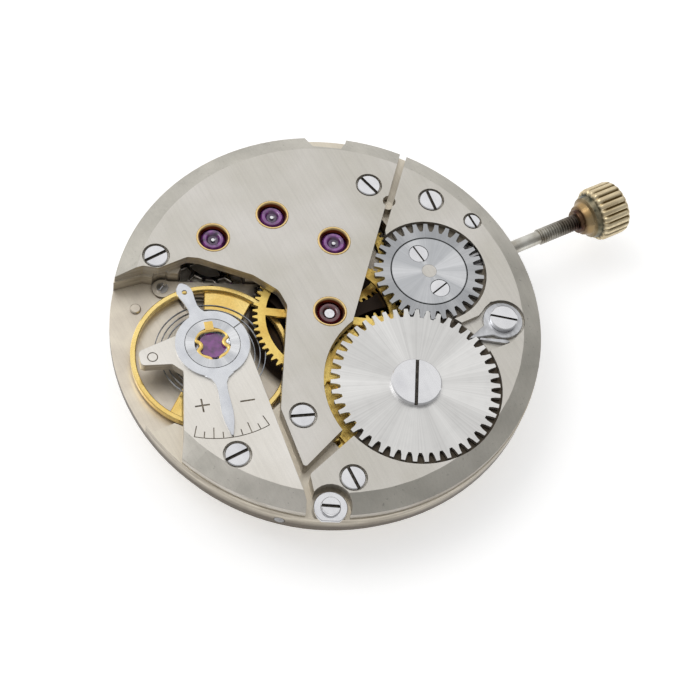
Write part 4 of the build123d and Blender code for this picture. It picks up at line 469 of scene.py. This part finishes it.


# Painted shade on the bridges' sloped rims, walls and wells.
bridge_shade = {"rim_shade": seen(166, 163, 154), "wall_shade": seen(158, 149, 132), "well_floor_shade": seen(196, 187, 172),
               "floor_z": 2.9}
bridge_nickel = nickel("bridge_nickel", seen(214, 210, 204), seen(198, 194, 184), **bridge_shade)
cock_nickel = nickel("cock_nickel", seen(232, 228, 221), seen(218, 213, 204), **bridge_shade)
slot_shade = groove("slot_shade", seen(46, 42, 38), seen(88, 82, 74))
scale_brown = groove("scale_brown", seen(92, 82, 70), seen(150, 140, 124))
barrel_at, crown_wheel_at, recess_z = (2.3, -6.3), (6.8, 0), 3.32
# Painted shade in the recess floors round the ratchet wheel and the crown wheel.
shaded_round(bridge_nickel, barrel_at, unshaded_r=5.2, dark_r=5.1, tone=seen(74, 67, 58), level_z=recess_z)
shaded_round(bridge_nickel, crown_wheel_at, unshaded_r=3.6, dark_r=3.5, tone=seen(112, 105, 95),
             level_z=recess_z)
bridge_edge = 0.04
for name, node in (("train_bridge_dressed", "train_bridge"), ("barrel_bridge_dressed", "barrel_bridge")):
    finished(dressed(name, node, bridge_edge), bridge_nickel, node, smooth_deg=10)

cock = dressed("balance_cock_dressed", "balance_cock", bridge_edge)
cock.data.materials.append(cock_nickel)
baked(cock)
engraved_z, over_cock_z = 3.56, 3.7
scale_r, scale_low_deg, scale_high_deg, ticks, arc_steps = 5.98, -126, -84, 9, 12
long_tick, short_tick, tick_w, arc_l, arc_w = 0.68, 0.4, 0.06, 0.4, 0.05
plus_at, minus_at, mark_l, mark_w, mark_deg = (-9.5, -2.43), (-7.04, -3.21), 0.85, 0.1, -15.3
stud_at, stud_circle_r, stud_circle_w = (-10.715, 1.524), 0.25, 0.06


def on_scale(radius, turn_deg):
    """A place on the cock, from its distance and its direction from the balance's axis."""
    across = math.radians(turn_deg)
    return balance_at[0] + radius * math.cos(across), balance_at[1] + radius * math.sin(across)


marks = []
scale_deg = scale_high_deg - scale_low_deg
for tick in range(ticks):
    turn = scale_low_deg + tick * scale_deg / (ticks - 1)
    length = short_tick if tick % 2 else long_tick
    marks.append(("tick", on_scale(scale_r - length / 2, turn), length, tick_w, turn))
for step in range(arc_steps):
    turn = scale_low_deg + (step + 0.5) * scale_deg / arc_steps
    marks.append(("arc", on_scale(scale_r, turn), arc_l, arc_w, turn + 90))
marks.append(("plus", plus_at, mark_l, mark_w, mark_deg))
marks.append(("plus", plus_at, mark_l, mark_w, mark_deg + 90))
marks.append(("minus", minus_at, mark_l, mark_w, mark_deg))
engraving = [bar(name, at, length, width, engraved_z, over_cock_z, turn)
             for name, at, length, width, turn in marks]
circle_profile = [(stud_circle_r, engraved_z), (stud_circle_r + stud_circle_w, engraved_z),
                  (stud_circle_r + stud_circle_w, over_cock_z), (stud_circle_r, over_cock_z)]
engraving.append(turned("stud_circle", circle_profile, (*stud_at, 0), steps=48))
for cutter in engraving:
    cutter.data.materials.append(scale_brown)
    cut_out(cock, cutter)
finished(cock, cock_nickel, "balance_cock", smooth_deg=3)


# Screws. Polished steel screws with flat heads, a chamfered rim and a straight slot, dark inside with painted
# shade.
# Six hold the bridges; the others hold the click, the setting lever, the two winding wheels and the case.
def slotted(name, at, radius, low, high, slot_deg, slot_w=0.14, slot_d=0.14, chamfer=0.05, shank_r=0.3):
    """Turned screw head with its chamfer, its slot and the first bit of its shank."""
    shank_l, overrun = 0.3, 0.2
    profile = [(0, low - shank_l), (shank_r, low - shank_l), (shank_r, low), (radius, low),
               (radius, high - chamfer), (radius - chamfer, high), (0, high)]
    head = turned(name, profile, (*at, 0), steps=64)
    head.data.materials.append(screw_steel)
    slot = bar("slot", at, 2.4 * radius, slot_w, high - slot_d, high + overrun, slot_deg)
    slot.data.materials.append(slot_shade)
    return cut_out(head, slot)


screw_steel = ground_steel("screw_steel", seen(224, 224, 226), seen(212, 212, 215), 0.17,
                           stretch=(1, 0.1, 1), scale=4000, line_tone=0.95)
seat_z, head_z = 3.25, 3.6
bridge_screws = (((-7.63, 7.58), 5), ((6.42, 6.9), 105), ((-4.61, -5.36), -20), ((9.45, 4.4), 83),
                 ((-3.84, -9.97), 88), ((-9.06, -5.96), 3))
bridge_heads = [slotted("bridge_screws_dressed", at, radius=0.71, low=seat_z, high=head_z, slot_deg=turn,
                        slot_w=0.19) for at, turn in bridge_screws]
finished(joined(*bridge_heads), screw_steel, "bridge_screws")
lever_screw = slotted("lever_screw_dressed", (11.04, 2.02), radius=0.48, low=seat_z, high=head_z, slot_deg=90)
finished(lever_screw, screw_steel, "setting_lever_screw")
click_screw = slotted("click_screw_dressed", (9.21, -4.76), radius=0.82, low=3.54, high=3.84, slot_deg=-37)
finished(click_screw, screw_steel, "click_screw")
ratchet_screw = slotted("ratchet_screw_dressed", barrel_at, radius=1.49, low=head_z, high=3.9, slot_deg=59,
                        slot_w=0.2, slot_d=0.16, chamfer=0.07)
finished(ratchet_screw, screw_steel, "ratchet_screw")
case_screw = dressed("case_screw_dressed", "case_screw", edge=0.03)
case_slot = bar("slot", (-5.7, -10.851), length=1.2, width=0.16, low=3.18, high=3.5, turn_deg=-30)
for piece, metal in ((case_screw, screw_steel), (case_slot, slot_shade)):
    piece.data.materials.append(metal)
baked(case_screw)
finished(cut_out(case_screw, case_slot), screw_steel, "case_screw")
core_screws = (((6.8, 1.31), 95), ((6.8, -1.31), 15))
core_heads = [slotted("core_screws_dressed", at, radius=0.59, low=3.47, high=head_z, slot_deg=turn,
                      slot_w=0.1, slot_d=0.1, chamfer=0.03, shank_r=0.2) for at, turn in core_screws]
finished(joined(*core_heads), screw_steel, "crown_wheel_screws")


# Chatons and jewels. Gold settings pressed into the train bridge, each rolled over a purple ruby whose
# top is cupped to hold the oil round the pivot.
def chaton_gilt(name):
    """Gold setting: bright on its rolled lip, and brown-red down its inner wall with painted shade and a
    painted reflection of the ruby.
    """
    material, tree, shader, where = new_metal(name, 0.18)
    inner, lip, wall_z, lip_z = seen(96, 44, 30), seen(240, 208, 146), 3.5, 3.62
    # The brown-red inner wall is painted shade and a painted reflection of the ruby.
    tone = mixed(tree, "MIX", along_share(tree, where, "Z", wall_z, lip_z), inner, lip)
    tone = mixed(tree, "MULTIPLY", 0.5, tone, graded(tree, cloud(tree, where, 7000, 3), 0.8, 1.0))
    tree.links.new(tone, shader.inputs["Base Color"])
    return material


cup_z, cup_rim_z = 3.2, 3.42
cup_ruby = ruby("cup_ruby", seen(46, 12, 58), seen(158, 84, 172), cup_z, cup_rim_z)
centre_ruby = ruby("centre_ruby", seen(48, 8, 18), seen(112, 26, 44), cup_z, cup_rim_z)
centre_hole_r, pivot_hole_r = 0.32, 0.13
jewel_holes = (((0, 0), centre_hole_r), ((2.53, 4.2), pivot_hole_r), ((-0.05, 7.35), pivot_hole_r),
               ((-4.0, 7.35), pivot_hole_r))
chaton_profile = [(0.74, 3.04), (0.74, 3.38), (0.77, 3.42), (0.86, 3.58), (0.9, 3.625), (0.96, 3.63),
                  (1.0, 3.6), (1.0, 3.04)]
cup_profile = [(0.3, 3.25), (0.36, 3.3), (0.4, 3.39), (0.44, 3.42), (0.52, 3.43), (0.6, 3.42),
               (0.66, 3.36), (0.73, 3.28), (0.73, 3.04)]
chatons, stones = [], []
for at, hole_r in jewel_holes:
    chatons.append(turned("chatons_dressed", chaton_profile, (*at, 0), steps=64))
    hole_profile = [(hole_r, 3.04), (hole_r, 3.22), (hole_r + 0.05, 3.24)]
    stone = turned("jewels_dressed", hole_profile + cup_profile, (*at, 0), steps=64)
    for metal in (cup_ruby, centre_ruby):
        stone.data.materials.append(metal)
    at_centre = hole_r == centre_hole_r
    stone.data.polygons.foreach_set("material_index", [int(at_centre)] * len(stone.data.polygons))
    stones.append(stone)
finished(joined(*chatons), chaton_gilt("chaton_gilt"), "chatons")
pallet_jewel_profile = [(0.09, 1.64), (0.09, 1.72), (0.18, 1.82), (0.34, 1.82), (0.35, 1.8), (0.35, 1.64)]
pallet_jewel = turned("pallet_hole_jewel", pallet_jewel_profile, (-5.1628, 5.0242, 0), steps=32)
finished(joined(*stones, pallet_jewel), cup_ruby, "upper_jewels")


# Winding wheels. Hardened steel: the ratchet wheel squared onto the barrel arbor, with rays ground from
# its centre, and the crown wheel under its screwed core. Both lie in round recesses of the barrel bridge.
def rayed_steel(name, centre, bright, dull, fine, roughness):
    """Steel ground with rays about its own centre, with painted highlights gathered in broad fans."""
    material, tree, shader, where = new_metal(name, roughness)
    mapping = tree.nodes.new("ShaderNodeMapping")
    mapping.inputs["Location"].default_value = (-centre[0] / mm_per_m, -centre[1] / mm_per_m, 0)
    mapping.inputs["Scale"].default_value = (1, 1, 0)
    tree.links.new(where, mapping.inputs["Vector"])
    outward = tree.nodes.new("ShaderNodeVectorMath")
    outward.operation = "NORMALIZE"
    tree.links.new(mapping.outputs["Vector"], outward.inputs[0])
    direction = outward.outputs["Vector"]
    rays = cloud(tree, direction, fine, 5)
    # Painted highlights: bright and dark sectors around the centre.
    fans = graded(tree, cloud(tree, direction, 1.7, 1), dull, bright, 0.4, 0.62)
    stains = graded(tree, cloud(tree, where, 1500, 5), 0.86, 1.0, 0.3, 0.5)
    tone = mixed(tree, "MIX", 0.8, bright, fans)
    tone = mixed(tree, "MULTIPLY", 0.5, tone, graded(tree, rays, 0.8, 1.0, 0.32, 0.6))
    tone = mixed(tree, "MULTIPLY", 0.3, tone, stains)
    tree.links.new(tone, shader.inputs["Base Color"])
    tree.links.new(graded(tree, rays, roughness + 0.08, roughness - 0.03), shader.inputs["Roughness"])
    rough_skin(tree, shader, rays, 0.0012, 0.5)
    return material


ratchet_steel = rayed_steel("ratchet_steel", barrel_at, seen(230, 229, 227), seen(208, 207, 205), fine=34,
                            roughness=0.38)
crown_wheel_steel = rayed_steel("crown_wheel_steel", crown_wheel_at, seen(186, 187, 189), seen(156, 158, 161),
                                fine=30, roughness=0.34)
core_steel = rayed_steel("core_steel", crown_wheel_at, seen(212, 213, 215), seen(180, 182, 185), fine=30,
                         roughness=0.34)
core_low, core_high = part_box("crown_wheel_core")
core_r = (core_high.x - core_low.x) / 2 * mm_per_m
# Painted shade at the edge of the crown wheel's core.
shaded_round(core_steel, crown_wheel_at, unshaded_r=core_r - 0.09, dark_r=core_r - 0.04, tone=seen(52, 54, 54))
click_steel = ground_steel("click_steel", seen(206, 207, 210), seen(150, 150, 152), 0.3)
finished(dressed("ratchet_wheel_dressed", "ratchet_wheel", edge=0), ratchet_steel, "ratchet_wheel")
finished(dressed("crown_wheel_dressed", "crown_wheel", edge=0), crown_wheel_steel, "crown_wheel")
finished(dressed("crown_wheel_core_dressed", "crown_wheel_core", edge=0), core_steel, "crown_wheel_core")
finished(dressed("click_dressed", "click", edge=0.03), click_steel, "click", smooth_deg=30)
metal_on(click_steel, "click_spring")


# Shock setting and regulator. A gilt wire lyre, hinged in the block by its tongue, holds down the cap jewel
# of the balance. The polished steel index sits round the block, with its long pointer over the scale.
def wire(name, points, radius, flat, level_z):
    """Bent wire in millimetres, pressed flatter, lying at a level."""
    line = bpy.data.curves.new(name, "CURVE")
    line.dimensions, line.bevel_depth, line.bevel_resolution, line.use_fill_caps = "3D", radius, 3, True
    run = line.splines.new("NURBS")
    run.points.add(len(points) - 1)
    for knot, (x, y) in zip(run.points, points):
        knot.co = (x, y, 0, 1)
    run.order_u, run.use_endpoint_u = 3, True
    bent = bpy.data.objects.new(name, line)
    bpy.context.scene.collection.objects.link(bent)
    bpy.context.view_layer.update()
    mesh = bpy.data.meshes.new_from_object(bent.evaluated_get(bpy.context.evaluated_depsgraph_get()))
    bpy.data.objects.remove(bent)
    mesh.transform(Matrix.Translation((0, 0, level_z)) @ Matrix.Diagonal((1, 1, flat, 1)))
    made = bpy.data.objects.new(name, mesh)
    bpy.context.scene.collection.objects.link(made)
    return made


bright_gilt = gilt("bright_gilt", seen(246, 212, 128), seen(222, 180, 98), 0.2)
lyre_side = [(0, 0.9), (0.52, 0.88), (0.86, 0.62), (0.98, 0.36), (0.66, 0.14), (0.66, -0.12), (0.94, -0.34),
             (0.8, -0.68), (0.42, -0.84), (0.26, -0.96), (0.22, -1.4)]
lyre_points = [(-x, y) for x, y in reversed(lyre_side)] + lyre_side[1:]
lyre_wire = wire("shock_springs_dressed", lyre_points, radius=0.115, flat=0.4, level_z=3.68)
lyre = joined(lyre_wire, bar("tongue", (0, 1.16), length=0.5, width=0.56, low=3.66, high=3.76, turn_deg=0))
lyre_deg = 74.7 - 90
lyre.data.transform(Matrix.Translation((*balance_at, 0)) @ Matrix.Rotation(math.radians(lyre_deg), 4, "Z"))
lower_ring = turned("lower_spring", [(0.84, 0.42), (1.0, 0.42), (1.0, 0.5), (0.84, 0.5)], (*balance_at, 0),
                    steps=48)
finished(joined(lyre, lower_ring), bright_gilt, "shock_springs")
block_steel = rayed_steel("block_steel", balance_at, seen(228, 229, 231), seen(190, 192, 196), fine=12,
                          roughness=0.2)
metal_on(block_steel, "shock_blocks")
metal_on(purple_ruby, "shock_jewels")
index_steel = ground_steel("index_steel", seen(216, 218, 222), seen(200, 202, 208), 0.22,
                           stretch=(1, 0.3, 0.3), scale=2500, line_tone=0.9)
finished(dressed("regulator_dressed", "regulator", edge=0.035), index_steel, "regulator")


# Stem and crown. The steel stem carries the winding pinion and sliding pinion, and ends in a thread for
# the fluted crown of gilded brass, worn and darkened at its collar.
def stained(metal, stains):
    """Darkens a metal with dried oil and tarnish, from one station along the stem to another."""
    tree, shader, where, tone = coat_of(metal)
    for unstained_unshaded_x, dark_x, stain in stains:
        patchy = graded(tree, cloud(tree, where, 1500, 4), 0.55, 1.0)
        share = mixed(tree, "MULTIPLY", 1.0, along_share(tree, where, "X", unstained_unshaded_x, dark_x), patchy)
        tone = mixed(tree, "MIX", share, tone, stain)
    tree.links.new(tone, shader.inputs["Base Color"])


stem_steel = ground_steel("stem_steel", seen(206, 204, 196), seen(150, 143, 130), 0.3, stretch=(0.06, 1, 1))
stained(stem_steel, [(14.9, 16.6, seen(104, 98, 88)), (16.4, 17.8, seen(60, 42, 38))])
stem_z = 2.1
thread_x, thread_end_x, plain_end_l = 15.04, 19.3, 0.4
thread_r, root_r, crest_l, root_at, pitch = 0.5, 0.4, 0.04, 0.11, 0.18
thread = [(thread_r, thread_x)]
while thread[-1][1] < thread_end_x - plain_end_l:
    start = thread[-1][1]
    thread += [(thread_r, start + crest_l), (root_r, start + root_at), (thread_r, start + pitch)]
shank = [(0, 4.39), (0.25, 4.39), (0.25, 5.79), (0.3, 5.79), (0.3, 8.69), (0.42, 8.69), (0.42, 10.39),
         (0.55, 10.39), (0.55, 10.69), (0.3, 10.69), (0.3, 11.14), (0.55, 11.14), (0.55, 12.3), (0.51, 12.34),
         (0.42, 12.34), (0.42, 15.0)]
stem_end = [(0.45, thread_end_x), (0, thread_end_x)]
finished(turned("winding_stem_dressed", shank + thread + stem_end, (0, 0, stem_z), steps=48, along="X"),
         stem_steel, "winding_stem")

crown_gilt = gilt("crown_gilt", seen(228, 212, 176), seen(176, 154, 116), 0.3, grain=5000)
stained(crown_gilt, [(19.04, 18.96, seen(58, 60, 48)), (18.68, 18.42, seen(170, 140, 96)),
                     (18.22, 18, seen(64, 40, 34))])
crown_x, crown_r, flutes, flute_d, steps_per_flute = 18.99, 1.7, 22, 0.12, 10
# Painted shade in the bottoms of the flutes, fading out towards both ends of the grip.
unshaded_r, flute_shade_r, flute_shade_brown = 1.68, 1.6, seen(104, 84, 44)
tree, shader, where, unshaded_gilt = coat_of(crown_gilt)
flute_shade = away_share(tree, where, (0, 0, stem_z), (0, 1, 1), unshaded_r, flute_shade_r)
for unstained_unshaded_x, flute_shade_x in ((19.15, 19.35), (20.88, 20.75)):
    flute_shade = mixed(tree, "MULTIPLY", 1.0, flute_shade, along_share(tree, where, "X", unstained_unshaded_x, flute_shade_x))
tree.links.new(mixed(tree, "MIX", flute_shade, unshaded_gilt, flute_shade_brown), shader.inputs["Base Color"])
collar = [(0, 17.8), (0.72, 17.8), (0.76, 17.86), (0.76, 18.04), (0.92, 18.08), (1.02, 18.3), (1.1, 18.52),
          (1.3, 18.6), (1.36, 18.8), (1.38, 18.95)]
grip = [(1.52, 0), (1.62, 0.08), (crown_r, 0.22), (crown_r, 0.6), (crown_r, 1.1), (crown_r, 1.6),
        (1.66, 1.75), (1.54, 1.9), (1.4, 1.96), (0, 1.96)]
crown = turned("crown_dressed", collar + [(radius, crown_x + station) for radius, station in grip],
               (0, 0, stem_z), steps=flutes * steps_per_flute, along="X")
fluted_from_r = 1.5
for point in crown.data.vertices:
    if math.hypot(point.co.y, point.co.z - stem_z) > fluted_from_r:
        turn = math.atan2(point.co.z - stem_z, point.co.y)
        sunk = 1 - flute_d / crown_r * (0.5 + 0.5 * math.cos(flutes * turn)) ** 3
        point.co.y *= sunk
        point.co.z = stem_z + (point.co.z - stem_z) * sunk
finished(crown, crown_gilt, "crown", smooth_deg=40)


# Table, light and camera. A plain white table, a broad soft light from behind and above, and the camera
# at the photograph's angle.
def seen_or_mirrored(tree, strength):
    """The given strength for rays from the camera, from mirrors and through glass, nothing for the rest."""
    path = tree.nodes.new("ShaderNodeLightPath")
    total = path.outputs["Is Camera Ray"]
    for kind in ("Is Glossy Ray", "Is Transmission Ray"):
        more = tree.nodes.new("ShaderNodeMath")
        more.operation, more.use_clamp = "ADD", True
        tree.links.new(total, more.inputs[0])
        tree.links.new(path.outputs[kind], more.inputs[1])
        total = more.outputs["Value"]
    scaled = tree.nodes.new("ShaderNodeMath")
    scaled.operation = "MULTIPLY"
    scaled.inputs[1].default_value = strength
    tree.links.new(total, scaled.inputs[0])
    return scaled.outputs["Value"]


table_half_m, under_part_m, table_glow = 1.5, 0.00002, 0.42
table_shape = bmesh.new()
bmesh.ops.create_grid(table_shape, x_segments=1, y_segments=1, size=table_half_m)
bmesh.ops.translate(table_shape, vec=(0, 0, cad_low.z - under_part_m), verts=table_shape.verts)
table_mesh = bpy.data.meshes.new("table_top")
table_shape.to_mesh(table_mesh)
table_shape.free()
table = bpy.data.objects.new("table_top", table_mesh)
bpy.context.scene.collection.objects.link(table)
table_white = bpy.data.materials.new("table_white")
table_white.use_nodes = True
paint = table_white.node_tree.nodes["Principled BSDF"]
paint.inputs["Base Color"].default_value = (0.86, 0.86, 0.86, 1)
paint.inputs["Roughness"].default_value = 0.9
paint.inputs["Specular IOR Level"].default_value = 0.0
paint.inputs["Emission Color"].default_value = (1, 1, 1, 1)
glow = seen_or_mirrored(table_white.node_tree, table_glow)
table_white.node_tree.links.new(glow, paint.inputs["Emission Strength"])
table_mesh.materials.append(table_white)

room = bpy.data.worlds.new("studio")
bpy.context.scene.world = room
room.use_nodes = True
room_tree = room.node_tree
backdrop = room_tree.nodes["Background"]
far_side = room_tree.nodes.new("ShaderNodeVectorMath")
far_side.operation = "DOT_PRODUCT"
far_direction, near_tone, far_tone = (0.05, 0.86, 0.5), 0.42, 1.0
far_side.inputs[1].default_value = far_direction
room_tree.links.new(room_tree.nodes.new("ShaderNodeTexCoord").outputs["Generated"], far_side.inputs[0])
room_tone = graded(room_tree, far_side.outputs["Value"], near_tone, far_tone, 0.05, 0.8)
room_tree.links.new(room_tone, backdrop.inputs["Color"])
backdrop.inputs["Strength"].default_value = 1.0

lamp = bpy.data.lights.new("key_light", "AREA")
lamp.energy, lamp.size = 0.16, 0.16
lamp_at = Vector((-0.10, 0.13, 0.24))
light = bpy.data.objects.new("key_light", lamp)
light.location = lamp_at
light.rotation_euler = (-lamp_at).to_track_quat("-Z", "Y").to_euler()
bpy.context.scene.collection.objects.link(light)

lens = bpy.data.cameras.new("camera")
lens.lens, lens.sensor_width = 87.43, 36
lens.clip_start, lens.clip_end = 0.001, 10
camera = bpy.data.objects.new("camera", lens)
camera.matrix_world = Matrix(((0.87135, 0.36363, -0.32944, -0.032641),
                              (-0.47325, 0.80011, -0.36858, -0.039110),
                              (0.12956, 0.47707, 0.86926, 0.089304), (0, 0, 0, 1)))
bpy.context.scene.collection.objects.link(camera)
bpy.context.scene.camera = camera
bpy.context.scene.view_settings.view_transform = "Standard"
